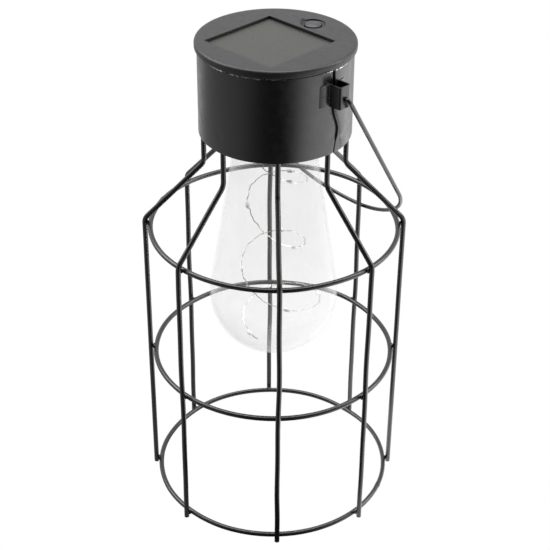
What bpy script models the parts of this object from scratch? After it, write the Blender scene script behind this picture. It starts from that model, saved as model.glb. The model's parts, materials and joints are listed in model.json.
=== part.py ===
"""Solar garden light: a wire cage lantern with a lift-out solar unit, a clear bulb and a swinging handle.

Metres, +Z up. The origin is on the cage's axis, on the plane of the eight wire ends it stands on. The
handle turns about an axis along X through both lugs, and at rest it hangs against the cage on the +Y side.
"""

import math

import bmesh
import bpy
from mathutils import Matrix, Vector

# ---------------------------------------------------------------- driving dimensions (metres, radians)
GAP = 0.0003                    # between pieces that touch or are welded to each other

# The sizes that set the room inside the collar
CELL_DIAMETER = 0.0105          # AAA
COLLAR_RADIUS = 0.0360          # outside
INNER_SCALE = (COLLAR_RADIUS - 0.0048) / 0.0312  # sizes in plan inside the collar follow its inner room

# Cage
WIRE_DIAMETER = 0.0025
WIRE_COUNT = 8
WIRE_DRIFT = {3: math.radians(1.4), 7: math.radians(1.8)}  # of the two wires welded out of line
CAGE_RADIUS = 0.0632            # axis of the upright stretch of each cage wire
SHOULDER_BEND_HEIGHT = 0.1533   # where the upright stretches turn inwards
COLLAR_BEND_HEIGHT = 0.1842     # where they turn up again, below the collar
WIRE_BEND_RADIUS = 0.0060
WIRE_WELD_LENGTH = 0.0140       # overlap of a wire with the collar's wall
BASE_RING_HEIGHT = 0.0023
MIDDLE_RING_HEIGHT = 0.0773
SHOULDER_RING_HEIGHT = 0.1508

# Collar
COLLAR_WALL = 0.0008
COLLAR_BOTTOM = 0.2021
COLLAR_HEIGHT = CELL_DIAMETER + 0.0307
SEAM_ANGLE = math.radians(3.5)  # from +X
SEAM_WIDTH = 0.0006
SEAM_DEPTH = 0.0003

# Handle lugs
LUG_WIDTH = 0.0069
LUG_HEIGHT = 0.0107
LUG_REACH = 0.0070              # from the collar to the lug's outer face
LUG_SHEET = 0.0009
LUG_FOOT_LENGTH = 0.0047
LUG_BEND_RADIUS = 0.0009
LUG_DROP = 0.0057               # from the collar's top rim to the lug's top

# Handle
HANDLE_DIAMETER = 0.0020
HANDLE_LENGTH = 0.1174          # from the pivot axis to the top of the arch
HANDLE_SIDE_LENGTH = 0.0800     # from the pivot axis to the start of the arch
HANDLE_ARCH_HALF_WIDTH = 0.0429
HANDLE_SKEW = -0.0035           # along X at the arch's top: the wire is bent a little off true
HANDLE_ARCH_POWER_RIGHT = 1.65  # 2 is an ellipse, less is more pointed, more is squarer
HANDLE_ARCH_POWER_LEFT = 2.3
HANDLE_HOOK_RADIUS = 0.0019
HANDLE_HOOK_LENGTH = 0.0034     # of the straight end inside the lug
HANDLE_SIDE_CLEARANCE = 0.0003  # from a lug's outer face to the start of the hook's bend
PIVOT_CLEARANCE = 0.0003        # radial, round the handle in a lug's hole
PIVOT_RISE = -0.0008            # of the pivot axis over the middle of the lug

# Top cap
CAP_RADIUS = 0.0371 * INNER_SCALE
CAP_EDGE_THICKNESS = 0.0036
CAP_EDGE_ROUND = 0.0007
CAP_WALL = 0.0016
CAP_FLOOR = 0.0018              # under the window recess
SKIRT_CLEARANCE = 0.0006        # radial, between the skirt and the collar
SKIRT_LENGTH = CELL_DIAMETER + 0.0121  # below the collar's rim

# Window, solar cell and button in the cap
WINDOW_SIDE = 0.0419 * INNER_SCALE
WINDOW_DEPTH = 0.0012           # from the cap's top down to the clear cover
WINDOW_OFFSET = -0.0038 * INNER_SCALE  # of the window's middle from the cap's axis, along Y
COVER_THICKNESS = 0.0010
CELL_THICKNESS = 0.0006
WINDOW_CLEARANCE = 0.0003
BUTTON_OFFSET = 0.0245 * INNER_SCALE  # from the cap's axis, along Y
BUTTON_DIAMETER = 0.0077
BUTTON_DOME = 0.0011
BUTTON_FLANGE = 0.0009          # how far the flange reaches out beyond the button
BUTTON_FLANGE_THICKNESS = 0.0010
BUTTON_CLEARANCE = 0.0004
BUTTON_RING_WIDTH = 0.0016
BUTTON_RING_DEPTH = 0.0010
BUTTON_TRAVEL = 0.0012
MARK_RADIUS = 0.0009            # of the small raised mark beside the button
MARK_HEIGHT = 0.0004
MARK_DISTANCE = 0.0072          # from the button's axis, towards -X

# Circuit board
BOARD_LENGTH = 0.0230 * INNER_SCALE  # along X
BOARD_WIDTH = 0.0220 * INNER_SCALE  # along Y
BOARD_THICKNESS = 0.0012
BOARD_DROP = 0.0065             # from the cap's ceiling to the board's top
BOARD_PAST_BUTTON = 0.0033 * INNER_SCALE  # from the button's axis to the board's outer edge
BOARD_SCREW_SPACING = 0.0170 * INNER_SCALE
BOARD_SCREW_INSET = 0.0030      # from the board's inner edge
BOARD_POST_RADIUS = 0.0024
BOARD_SCREW_SHANK = 0.0008      # radius
BOARD_SCREW_HEAD = 0.0016       # radius
BOARD_SCREW_HEAD_HEIGHT = 0.0010
BOARD_SCREW_BITE = 0.0040
SWITCH_SIDE = 0.0060
PLUNGER_RADIUS = 0.0015
PLUNGER_INSERT = 0.0008         # how deep the plunger stands in the switch at rest
CHIP_SIZE = (0.0040, 0.0040, 0.0016)
CHIP_PLACE = (-0.0040 * INNER_SCALE, 0.0100 * INNER_SCALE)  # from the middle of the board's inner edge
INDUCTOR_SIZE = (0.0034, 0.0080 * INNER_SCALE, 0.0034)
INDUCTOR_PLACE = (0.0037 * INNER_SCALE, 0.0092 * INNER_SCALE)

# Battery and its holder
CELL_LENGTH = 0.0445 * INNER_SCALE
CELL_NUB_RADIUS = 0.0019
CELL_NUB_LENGTH = 0.0010
BATTERY_OFFSET = -0.0080 * INNER_SCALE  # of the battery's axis, along Y
HOLDER_WALL = 0.0014 * INNER_SCALE
HOLDER_CLEARANCE = 0.0004
HOLDER_FLOOR = 0.0012
HOLDER_RISE = 0.0015            # of the walls over the battery's axis
SPRING_ROOM = 0.0030 * INNER_SCALE
SPRING_WIRE = 0.0006
SPRING_SMALL_RADIUS = 0.0022
SPRING_LARGE_RADIUS = 0.0038
SPRING_TURNS = 3
CONTACT_SHEET = 0.0004
CONTACT_SIDE = 0.0070
LEAD_DIAMETER = 0.0010
LEAD_BEND_RADIUS = 0.0012
CELL_LEAD_SPACING = 0.0050

# Bottom cover
COVER_PLATE = 0.0016
SPIGOT_HEIGHT = 0.0030
SPIGOT_WALL = 0.0014 * INNER_SCALE
SPIGOT_CLEARANCE = 0.0004
SOCKET_WALL = 0.0016
SOCKET_DEPTH = 0.0100
SOCKET_CLEARANCE = 0.0004
SEAL_THICKNESS = 0.0012
SCREW_COUNT = 3
SCREW_CIRCLE = 0.0268 * INNER_SCALE  # radius of the circle they stand on
SCREW_SHANK = 0.0011            # radius
SCREW_HEAD = 0.0021             # radius
SCREW_HEAD_HEIGHT = 0.0014
SCREW_BITE = 0.0070             # length held in its post
SCREW_POST_RADIUS = 0.0030
SCREW_CLEARANCE = 0.0003

# Bulb
BULB_CLEARANCE = 0.0004         # to the ends of the cage wires, as it lifts out
BULB_WALL = 0.0008
BULB_CENTRE_HEIGHT = 0.1120     # of the round end
NECK_RADIUS = 0.0176 * INNER_SCALE  # in the socket

# Light string
STRING_RADIUS = 0.00035
BEAD_RADIUS = 0.00110
BEAD_LENGTH = 0.0026
BEAD_COUNT = 10
STRING_TURNS = 3.5
STRING_FILL = 0.62              # share of the bulb's inner radius that the coil takes
STRING_ENTRY = 0.0040 * INNER_SCALE  # of its hole in the bottom cover, along Y
STRING_HOLE_RADIUS = 0.0012
STRING_TOP_CLEARANCE = 0.0120   # from the bulb's neck to the first turn
STRING_END_CLEARANCE = 0.0060   # from the last turn to the bulb's bottom
STRING_LEAD_SHARE = 0.14         # of the path, from the board down to the bulb's neck
STRING_WAVE = 0.0040             # how far the coil rises and falls
STRING_WANDER = ((0.16, 9, 0), (0.10, 23, 1))  # share, rate and start of each unevenness
FIRST_BEAD_SHARE = 0.22          # of the string's length
LAST_BEAD_SHARE = 0.985

# ---------------------------------------------------------------- places worked out from them
WIRE_RADIUS = WIRE_DIAMETER / 2
RING_RADIUS = CAGE_RADIUS - WIRE_DIAMETER - GAP
COLLAR_INSIDE = COLLAR_RADIUS - COLLAR_WALL
STUB_RADIUS = COLLAR_INSIDE - GAP - WIRE_RADIUS
BULB_RADIUS = STUB_RADIUS - WIRE_RADIUS - BULB_CLEARANCE
STUB_TOP = COLLAR_BOTTOM + WIRE_WELD_LENGTH
COLLAR_TOP = COLLAR_BOTTOM + COLLAR_HEIGHT

LUG_TOP = COLLAR_TOP - LUG_DROP
LUG_FACE = COLLAR_RADIUS + LUG_REACH
PIVOT_HEIGHT = LUG_TOP - LUG_HEIGHT / 2 + PIVOT_RISE
HANDLE_RADIUS = HANDLE_DIAMETER / 2
HANDLE_HALF_WIDTH = LUG_FACE + HANDLE_SIDE_CLEARANCE + HANDLE_HOOK_RADIUS

CAP_BASE = COLLAR_TOP + GAP
CAP_TOP = CAP_BASE + CAP_EDGE_THICKNESS
SKIRT_RADIUS = COLLAR_INSIDE - SKIRT_CLEARANCE
SKIRT_INSIDE = SKIRT_RADIUS - CAP_WALL
SKIRT_BOTTOM = COLLAR_TOP - SKIRT_LENGTH
COVER_TOP = CAP_TOP - WINDOW_DEPTH
CELL_TOP = COVER_TOP - COVER_THICKNESS - GAP
WINDOW_FLOOR = CELL_TOP - CELL_THICKNESS - GAP
CEILING = WINDOW_FLOOR - CAP_FLOOR

BUTTON_RADIUS = BUTTON_DIAMETER / 2
BUTTON_BORE = BUTTON_RADIUS + BUTTON_CLEARANCE
FLANGE_TOP = CEILING - GAP
FLANGE_BOTTOM = FLANGE_TOP - BUTTON_FLANGE_THICKNESS
BOARD_TOP = CEILING - BOARD_DROP
BOARD_BOTTOM = BOARD_TOP - BOARD_THICKNESS
BOARD_OUTER_EDGE = BUTTON_OFFSET + BOARD_PAST_BUTTON
BOARD_INNER_EDGE = BOARD_OUTER_EDGE - BOARD_WIDTH
SWITCH_TOP = FLANGE_BOTTOM - BUTTON_TRAVEL - GAP

SEAL_TOP = SKIRT_BOTTOM - GAP
PLATE_TOP = SEAL_TOP - SEAL_THICKNESS - GAP
PLATE_BOTTOM = PLATE_TOP - COVER_PLATE
SPIGOT_RADIUS = SKIRT_INSIDE - SPIGOT_CLEARANCE
SOCKET_RADIUS = NECK_RADIUS + SOCKET_CLEARANCE
POST_BOTTOM = PLATE_TOP + GAP
BATTERY_HEIGHT = POST_BOTTOM + HOLDER_FLOOR + HOLDER_CLEARANCE + CELL_DIAMETER / 2
BATTERY_END = CELL_LENGTH / 2
NECK_TOP = PLATE_BOTTOM - GAP
NECK_BOTTOM = PLATE_BOTTOM - SOCKET_DEPTH - GAP

METAL_BLACK = ("black_paint", (0.020, 0.020, 0.021), 0.38, 0.0)
PLASTIC_BLACK = ("black_plastic", (0.045, 0.045, 0.048), 0.50, 0.0)
CLEAR_RESIN = ("clear_resin", (0.30, 0.31, 0.30), 0.12, 0.0)
CELL_BLUE = ("solar_cell", (0.030, 0.034, 0.045), 0.30, 0.2)
BUTTON_RUBBER = ("button_rubber", (0.075, 0.075, 0.080), 0.55, 0.0)
BOARD_GREEN = ("board_green", (0.020, 0.120, 0.050), 0.45, 0.0)
DARK_PLASTIC = ("component_plastic", (0.025, 0.025, 0.027), 0.40, 0.0)
SWITCH_METAL = ("switch_metal", (0.55, 0.55, 0.56), 0.30, 1.0)
BATTERY_SLEEVE = ("battery_sleeve", (0.10, 0.32, 0.16), 0.35, 0.0)
NICKEL = ("nickel_steel", (0.62, 0.60, 0.56), 0.28, 1.0)
SEAL_RUBBER = ("seal_rubber", (0.030, 0.030, 0.030), 0.80, 0.0)
CLEAR_BULB = ("clear_bulb", (0.92, 0.93, 0.94), 0.05, 0.0)
STRING_SILVER = ("string_silver", (0.72, 0.70, 0.66), 0.30, 1.0)
LEAD_RED = ("lead_red", (0.45, 0.02, 0.02), 0.50, 0.0)
LEAD_BLACK = ("lead_black", (0.02, 0.02, 0.02), 0.50, 0.0)


# ---------------------------------------------------------------- helpers
def clear_scene():
    for obj in list(bpy.data.objects):
        bpy.data.objects.remove(obj, do_unlink=True)


def finish_material(finish):
    """The material of this finish, made the first time it is asked for."""
    name, colour, roughness, metallic = finish
    material = bpy.data.materials.get(name)
    if material is None:
        material = bpy.data.materials.new(name)
        material.use_nodes = True
        shader = material.node_tree.nodes["Principled BSDF"]
        shader.inputs["Base Color"].default_value = (*colour, 1.0)
        shader.inputs["Roughness"].default_value = roughness
        shader.inputs["Metallic"].default_value = metallic
        if name == CLEAR_BULB[0]:
            shader.inputs["Transmission Weight"].default_value = 1.0
    return material


def add_empty(name, location, parent=None):
    empty = bpy.data.objects.new(name, None)
    empty.empty_display_size = 0.01
    bpy.context.scene.collection.objects.link(empty)
    if parent is None:
        empty.location = location
    else:
        empty.parent = parent
        empty.location = Vector(location) - parent.matrix_world.translation
    bpy.context.view_layer.update()
    return empty


def add_data(name, data, finish, parent):
    """An object from data made in world coordinates, hung on its parent without moving it."""
    obj = bpy.data.objects.new(name, data)
    data.materials.append(finish_material(finish))
    bpy.context.scene.collection.objects.link(obj)
    obj.parent = parent
    obj.matrix_parent_inverse = parent.matrix_world.inverted()
    return obj


def mesh_from(name, bm):
    bmesh.ops.remove_doubles(bm, verts=bm.verts, dist=1e-6)
    bmesh.ops.recalc_face_normals(bm, faces=bm.faces)
    mesh = bpy.data.meshes.new(name)
    bm.to_mesh(mesh)
    bm.free()
    return mesh


def add_mesh(name, bm, finish, parent, smooth=False):
    mesh = mesh_from(name, bm)
    if smooth:
        mesh.shade_smooth()
        mesh.set_sharp_from_angle(angle=math.radians(35))
    return add_data(name, mesh, finish, parent)


def add_cutter(name, bm):
    """A helper solid for a Boolean, left out of renders and of the build."""
    obj = bpy.data.objects.new(name, mesh_from(name, bm))
    bpy.context.scene.collection.objects.link(obj)
    obj.hide_render = True
    obj.display_type = "WIRE"
    return obj


def boolean(obj, other, operation):
    modifier = obj.modifiers.new(other.name, "BOOLEAN")
    modifier.operation = operation
    modifier.solver = "EXACT"
    modifier.object = other


def turned(bm, outline, segments, centre=(0, 0)):
    """Turns an (r, z) outline about a vertical axis. One with no point on the axis is a closed ring."""
    points = [bm.verts.new((r, 0, z)) for r, z in outline]
    edges = [bm.edges.new(pair) for pair in zip(points, points[1:])]
    if min(r for r, _ in outline) > 0:
        edges.append(bm.edges.new((points[-1], points[0])))
    axis = Vector((0, 0, 1))
    bmesh.ops.spin(
        bm, geom=points + edges, cent=(0, 0, 0), axis=axis, angle=math.tau, steps=segments, use_merge=True
    )
    bmesh.ops.remove_doubles(bm, verts=bm.verts, dist=1e-6)
    bmesh.ops.translate(bm, verts=bm.verts, vec=(*centre, 0))
    return bm


def block(bm, low, high, bevel=0.0):
    """A box from its lowest to its highest corner, with its edges rounded off by bevel."""
    low = Vector(low)
    high = Vector(high)
    made = bmesh.ops.create_cube(bm, size=1)["verts"]
    size = high - low
    bmesh.ops.scale(bm, vec=size, verts=made)
    bmesh.ops.translate(bm, vec=(low + high) / 2, verts=made)
    if bevel:
        edges = list({edge for vert in made for edge in vert.link_edges})
        bmesh.ops.bevel(bm, geom=edges, offset=bevel, segments=2, affect="EDGES", profile=0.5)
    return bm


def disc(bm, radius, bottom, top, segments, centre=(0, 0)):
    """An upright cylinder with closed ends."""
    outline = [(0, top), (radius, top), (radius, bottom), (0, bottom)]
    part = turned(bmesh.new(), outline, segments, centre)
    mesh = mesh_from("disc", part)
    bm.from_mesh(mesh)
    bpy.data.meshes.remove(mesh)
    return bm


def extruded(bm, outline, bottom, top):
    """A closed (x, y) outline drawn upwards from bottom to top."""
    face = bm.faces.new([bm.verts.new((x, y, bottom)) for x, y in outline])
    made = bmesh.ops.extrude_face_region(bm, geom=[face])["geom"]
    moved = [item for item in made if isinstance(item, bmesh.types.BMVert)]
    bmesh.ops.translate(bm, vec=(0, 0, top - bottom), verts=moved)
    return bm


def rounded_path(corners, radius, steps):
    """Straight stretches through the corners, with each inner corner replaced by an arc."""
    corners = [Vector(corner) for corner in corners]
    path = [corners[0]]
    for before, corner, after in zip(corners, corners[1:], corners[2:]):
        back = (before - corner).normalized()
        ahead = (after - corner).normalized()
        half = back.angle(ahead) / 2
        middle = corner + (back + ahead).normalized() * (radius / math.sin(half))
        start = corner + back * (radius / math.tan(half))
        end = corner + ahead * (radius / math.tan(half))
        axis = (start - middle).cross(end - middle)
        sweep = (start - middle).angle(end - middle)
        for step in range(steps + 1):
            path.append(middle + Matrix.Rotation(sweep * step / steps, 3, axis) @ (start - middle))
    path.append(corners[-1])
    return path


def add_wire(name, path, radius, finish, parent, closed=False, fine=2, swell=None):
    """A round wire along the path. swell gives each point's share of the radius."""
    curve = bpy.data.curves.new(name, "CURVE")
    curve.dimensions = "3D"
    curve.bevel_depth = radius
    curve.bevel_resolution = fine
    curve.use_fill_caps = True
    spline = curve.splines.new("POLY")
    spline.points.add(len(path) - 1)
    for index, point in enumerate(path):
        spline.points[index].co = (*point, 1)
        spline.points[index].radius = swell[index] if swell else 1.0
    spline.use_cyclic_u = closed
    spline.use_smooth = True
    return add_data(name, curve, finish, parent)


# ---------------------------------------------------------------- cage
def wire_angle(index):
    return math.tau * index / WIRE_COUNT + WIRE_DRIFT.get(index, 0)


def make_cage(cage):
    for index in range(WIRE_COUNT):
        angle = wire_angle(index)
        outline = [
            (CAGE_RADIUS, 0),
            (CAGE_RADIUS, SHOULDER_BEND_HEIGHT),
            (STUB_RADIUS, COLLAR_BEND_HEIGHT),
            (STUB_RADIUS, STUB_TOP),
        ]
        corners = [(r * math.cos(angle), r * math.sin(angle), z) for r, z in outline]
        path = rounded_path(corners, WIRE_BEND_RADIUS, 4)
        add_wire(f"cage_wire_{index + 1}", path, WIRE_RADIUS, METAL_BLACK, cage)
    heights = {
        "base_ring": BASE_RING_HEIGHT,
        "middle_ring": MIDDLE_RING_HEIGHT,
        "shoulder_ring": SHOULDER_RING_HEIGHT,
    }
    for name, height in heights.items():
        sides = 8
        section = [
            (
                RING_RADIUS + WIRE_RADIUS * math.cos(math.tau * side / sides),
                height - WIRE_RADIUS * math.sin(math.tau * side / sides),
            )
            for side in range(sides)
        ]
        add_mesh(name, turned(bmesh.new(), section, 48), METAL_BLACK, cage, smooth=True)


def make_collar(cage):
    """A rolled sleeve with a shallow seam along the angle where the sheet's edges meet."""
    segments = 72
    half_seam = SEAM_WIDTH / 2 / COLLAR_RADIUS
    spread = math.tau - 4 * half_seam
    angles = [SEAM_ANGLE + 2 * half_seam + spread * step / segments for step in range(segments + 1)]
    outside = [(COLLAR_RADIUS, angle) for angle in angles]
    outside += [
        (COLLAR_RADIUS - SEAM_DEPTH, SEAM_ANGLE - half_seam),
        (COLLAR_RADIUS - SEAM_DEPTH, SEAM_ANGLE + half_seam),
    ]
    bm = bmesh.new()
    rows = []
    for height in (COLLAR_BOTTOM, COLLAR_TOP):
        outer = [bm.verts.new((r * math.cos(a), r * math.sin(a), height)) for r, a in outside]
        reach = COLLAR_INSIDE
        inner = [bm.verts.new((reach * math.cos(a), reach * math.sin(a), height)) for _, a in outside]
        rows.append((outer, inner))
    (low_outer, low_inner), (high_outer, high_inner) = rows
    count = len(outside)
    for index in range(count):
        after = (index + 1) % count
        bm.faces.new((low_outer[index], low_outer[after], high_outer[after], high_outer[index]))
        bm.faces.new((low_inner[after], low_inner[index], high_inner[index], high_inner[after]))
        bm.faces.new((high_outer[index], high_outer[after], high_inner[after], high_inner[index]))
        bm.faces.new((low_outer[after], low_outer[index], low_inner[index], low_inner[after]))
    add_mesh("collar", bm, METAL_BLACK, cage, smooth=True)


def lug_centre_line():
    """Plan view of a lug's sheet, from one foot over the raised middle to the other foot, facing +X."""
    foot = COLLAR_RADIUS + GAP + LUG_SHEET / 2
    side = LUG_WIDTH / 2 - LUG_SHEET / 2
    root = side + LUG_BEND_RADIUS
    foot_start = math.asin(root / foot)
    foot_sweep = LUG_FOOT_LENGTH / foot
    steps = 4
    half = []
    for step in range(steps + 1):
        angle = foot_start + foot_sweep * (1 - step / steps)
        half.append(Vector((foot * math.cos(angle), foot * math.sin(angle))))
    middle = Vector((half[-1].x + LUG_BEND_RADIUS, root))
    for step in range(1, steps + 1):
        angle = math.pi + math.pi / 2 * step / steps
        half.append(middle + LUG_BEND_RADIUS * Vector((math.cos(angle), math.sin(angle))))
    face = LUG_FACE - LUG_SHEET / 2
    middle = Vector((face - LUG_BEND_RADIUS, side - LUG_BEND_RADIUS))
    for step in range(steps + 1):
        angle = math.pi / 2 * (1 - step / steps)
        half.append(middle + LUG_BEND_RADIUS * Vector((math.cos(angle), math.sin(angle))))
    return half + [Vector((point.x, -point.y)) for point in reversed(half)]


def thickened(line, thickness):
    """A closed outline round an open (x, y) line, half the thickness to each side."""
    left = []
    right = []
    for index, point in enumerate(line):
        before = line[max(index - 1, 0)]
        after = line[min(index + 1, len(line) - 1)]
        along = (after - before).normalized()
        across = Vector((-along.y, along.x)) * thickness / 2
        left.append(point + across)
        right.append(point - across)
    return left + right[::-1]


def make_lugs(cage):
    outline = thickened(lug_centre_line(), LUG_SHEET)
    for name, turn in (("lug_right", 0), ("lug_left", math.pi)):
        bm = extruded(bmesh.new(), outline, LUG_TOP - LUG_HEIGHT, LUG_TOP)
        bmesh.ops.rotate(bm, verts=bm.verts, cent=(0, 0, 0), matrix=Matrix.Rotation(turn, 3, "Z"))
        lug = add_mesh(name, bm, METAL_BLACK, cage)
        hole = bmesh.new()
        length = LUG_SHEET * 4
        middle = (LUG_FACE - LUG_SHEET / 2) * math.cos(turn)
        place = Matrix.Translation((middle, 0, PIVOT_HEIGHT)) @ Matrix.Rotation(math.pi / 2, 4, "Y")
        bmesh.ops.create_cone(
            hole,
            cap_ends=True,
            segments=20,
            radius1=HANDLE_RADIUS + PIVOT_CLEARANCE,
            radius2=HANDLE_RADIUS + PIVOT_CLEARANCE,
            depth=length,
            matrix=place,
        )
        boolean(lug, add_cutter(name + "_hole", hole), "DIFFERENCE")


# ---------------------------------------------------------------- handle
def handle_outline():
    """The handle in its own plane, from the right lug to the left: x across, y away from the pivot axis."""
    hook = HANDLE_HOOK_RADIUS
    arch_start = Vector((HANDLE_ARCH_HALF_WIDTH, HANDLE_SIDE_LENGTH))
    taper = math.atan2(HANDLE_HALF_WIDTH - arch_start.x, arch_start.y - hook)
    rise = HANDLE_LENGTH - HANDLE_SIDE_LENGTH
    side = [Vector((HANDLE_HALF_WIDTH - hook - HANDLE_HOOK_LENGTH, 0))]
    steps = 5
    for step in range(steps + 1):
        angle = -math.pi / 2 + (math.pi / 2 + taper) * step / steps
        around = Vector((math.cos(angle), math.sin(angle)))
        side.append(Vector((HANDLE_HALF_WIDTH - hook, hook)) + hook * around)
    side.append(side[-1].lerp(arch_start, 0.5))
    halves = []
    steps = 16
    for arch_power in (HANDLE_ARCH_POWER_RIGHT, HANDLE_ARCH_POWER_LEFT):
        power = 2 / arch_power
        angles = [math.pi / 2 * step / steps for step in range(steps)]
        across = [arch_start.x * math.cos(angle) ** power for angle in angles]
        away = [arch_start.y + rise * math.sin(angle) ** power for angle in angles]
        halves.append(side + [Vector(point) for point in zip(across, away)])
    right, left = halves
    whole = right + [Vector((0, HANDLE_LENGTH))] + [Vector((-p.x, p.y)) for p in reversed(left)]
    return [Vector((p.x + HANDLE_SKEW * max(0, p.y - hook) / HANDLE_LENGTH, p.y)) for p in whole]


def lean_of_handle(outline):
    """How far below level the handle hangs: it comes down until it is a gap away from the cage."""
    room = WIRE_RADIUS + HANDLE_RADIUS + GAP
    wires = []
    for index in range(WIRE_COUNT):
        angle = wire_angle(index)
        outward = Vector((math.cos(angle), math.sin(angle), 0))
        if outward.y > 0.01:
            bend = outward * CAGE_RADIUS + Vector((0, 0, SHOULDER_BEND_HEIGHT))
            foot = outward * CAGE_RADIUS
            stub = outward * STUB_RADIUS + Vector((0, 0, COLLAR_BEND_HEIGHT))
            wires += [(foot, bend), (bend, stub)]
    points = []
    for first, second in zip(outline, outline[1:]):
        points += [first.lerp(second, step / 6) for step in range(6)]

    def clear_at(lean):
        for flat in points:
            point = Vector((flat.x, flat.y * math.cos(lean), PIVOT_HEIGHT - flat.y * math.sin(lean)))
            for low, high in wires:
                share = (point - low).dot(high - low) / (high - low).length_squared
                nearest = low.lerp(high, min(max(share, 0), 1))
                if (point - nearest).length < room:
                    return False
        return True

    step = math.radians(0.1)
    lean = 0.0
    while lean < math.pi / 2 and clear_at(lean + step):
        lean += step
    return lean


def make_handle(pivot):
    outline = handle_outline()
    lean = lean_of_handle(outline)
    path = [Vector((p.x, p.y * math.cos(lean), PIVOT_HEIGHT - p.y * math.sin(lean))) for p in outline]
    add_wire("handle", path, HANDLE_RADIUS, METAL_BLACK, pivot)


# ---------------------------------------------------------------- top cap
def screw_places():
    """Plan positions of the cover screws, clear of the battery, the board and the button."""
    angles = [math.radians(-90) + math.tau * index / SCREW_COUNT for index in range(SCREW_COUNT)]
    return [(SCREW_CIRCLE * math.cos(angle), SCREW_CIRCLE * math.sin(angle)) for angle in angles]


def board_screw_places():
    y = BOARD_INNER_EDGE + BOARD_SCREW_INSET
    return [(side * BOARD_SCREW_SPACING / 2, y) for side in (-1, 1)]


def cell_lead_places():
    y = BOARD_INNER_EDGE + BOARD_SCREW_INSET
    return [(side * CELL_LEAD_SPACING / 2, y) for side in (-1, 1)]


def make_top_cap(unit):
    edge = [
        (
            CAP_RADIUS - CAP_EDGE_ROUND + CAP_EDGE_ROUND * math.sin(math.pi / 2 * step / 3),
            CAP_TOP - CAP_EDGE_ROUND + CAP_EDGE_ROUND * math.cos(math.pi / 2 * step / 3),
        )
        for step in range(4)
    ]
    outline = [(0, CAP_TOP), *edge]
    outline += [(CAP_RADIUS, CAP_BASE), (SKIRT_RADIUS, CAP_BASE), (SKIRT_RADIUS, SKIRT_BOTTOM)]
    outline += [(SKIRT_INSIDE, SKIRT_BOTTOM), (SKIRT_INSIDE, CEILING), (0, CEILING)]
    cap = add_mesh("top_cap", turned(bmesh.new(), outline, 64), PLASTIC_BLACK, unit, smooth=True)

    posts = bmesh.new()
    into_ceiling = CEILING + CAP_FLOOR / 2
    for place in screw_places():
        disc(posts, SCREW_POST_RADIUS, POST_BOTTOM, into_ceiling, 16, place)
    for place in board_screw_places():
        disc(posts, BOARD_POST_RADIUS, BOARD_TOP + GAP, into_ceiling, 16, place)
    mark = (-MARK_DISTANCE, BUTTON_OFFSET)
    disc(posts, MARK_RADIUS, CAP_TOP - MARK_HEIGHT, CAP_TOP + MARK_HEIGHT, 12, mark)
    boolean(cap, add_cutter("cap_posts", posts), "UNION")

    above = CAP_TOP + WINDOW_DEPTH
    half = WINDOW_SIDE / 2
    window = bmesh.new()
    block(window, (-half, WINDOW_OFFSET - half, WINDOW_FLOOR), (half, WINDOW_OFFSET + half, above))
    boolean(cap, add_cutter("cap_window_recess", window), "DIFFERENCE")

    ring = BUTTON_BORE + BUTTON_RING_WIDTH
    ledge = CAP_TOP - BUTTON_RING_DEPTH
    below = CEILING - CAP_FLOOR
    bore_outline = [(0, above), (ring, above), (ring, ledge)]
    bore_outline += [(BUTTON_BORE, ledge), (BUTTON_BORE, below), (0, below)]
    bore = turned(bmesh.new(), bore_outline, 32, (0, BUTTON_OFFSET))
    boolean(cap, add_cutter("cap_button_bore", bore), "DIFFERENCE")

    holes = bmesh.new()
    shank = SCREW_SHANK + SCREW_CLEARANCE
    for place in screw_places():
        disc(holes, shank, POST_BOTTOM - COVER_PLATE, POST_BOTTOM + SCREW_BITE + SCREW_CLEARANCE, 12, place)
    shank = BOARD_SCREW_SHANK + SCREW_CLEARANCE
    for place in board_screw_places():
        disc(holes, shank, BOARD_BOTTOM, BOARD_TOP + BOARD_SCREW_BITE + SCREW_CLEARANCE, 12, place)
    for place in cell_lead_places():
        disc(holes, LEAD_DIAMETER / 2 + GAP, below, WINDOW_FLOOR + CELL_THICKNESS, 12, place)
    boolean(cap, add_cutter("cap_holes", holes), "DIFFERENCE")


def make_window(unit):
    half = WINDOW_SIDE / 2 - WINDOW_CLEARANCE
    layers = {
        "window_cover": (CELL_TOP + GAP, COVER_TOP, CLEAR_RESIN),
        "solar_cell": (CELL_TOP - CELL_THICKNESS, CELL_TOP, CELL_BLUE),
    }
    for name, (bottom, top, finish) in layers.items():
        bm = block(bmesh.new(), (-half, WINDOW_OFFSET - half, bottom), (half, WINDOW_OFFSET + half, top))
        add_mesh(name, bm, finish, unit)


# ---------------------------------------------------------------- button, board and battery
def make_button(button):
    rim = CAP_TOP - GAP
    steps = 6
    ball = (BUTTON_RADIUS**2 + BUTTON_DOME**2) / (2 * BUTTON_DOME)
    reach = math.asin(BUTTON_RADIUS / ball)
    angles = [reach * step / steps for step in range(steps + 1)]
    outline = [(ball * math.sin(angle), rim + BUTTON_DOME - ball * (1 - math.cos(angle))) for angle in angles]
    flange = BUTTON_RADIUS + BUTTON_FLANGE
    outline += [(BUTTON_RADIUS, FLANGE_TOP), (flange, FLANGE_TOP), (flange, FLANGE_BOTTOM), (0, FLANGE_BOTTOM)]
    bm = turned(bmesh.new(), outline, 28, (0, BUTTON_OFFSET))
    add_mesh("power_button", bm, BUTTON_RUBBER, button, smooth=True)
    low, high = SWITCH_TOP - PLUNGER_INSERT, FLANGE_BOTTOM - GAP
    bm = disc(bmesh.new(), PLUNGER_RADIUS, low, high, 16, (0, BUTTON_OFFSET))
    add_mesh("switch_plunger", bm, DARK_PLASTIC, button, smooth=True)


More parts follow.
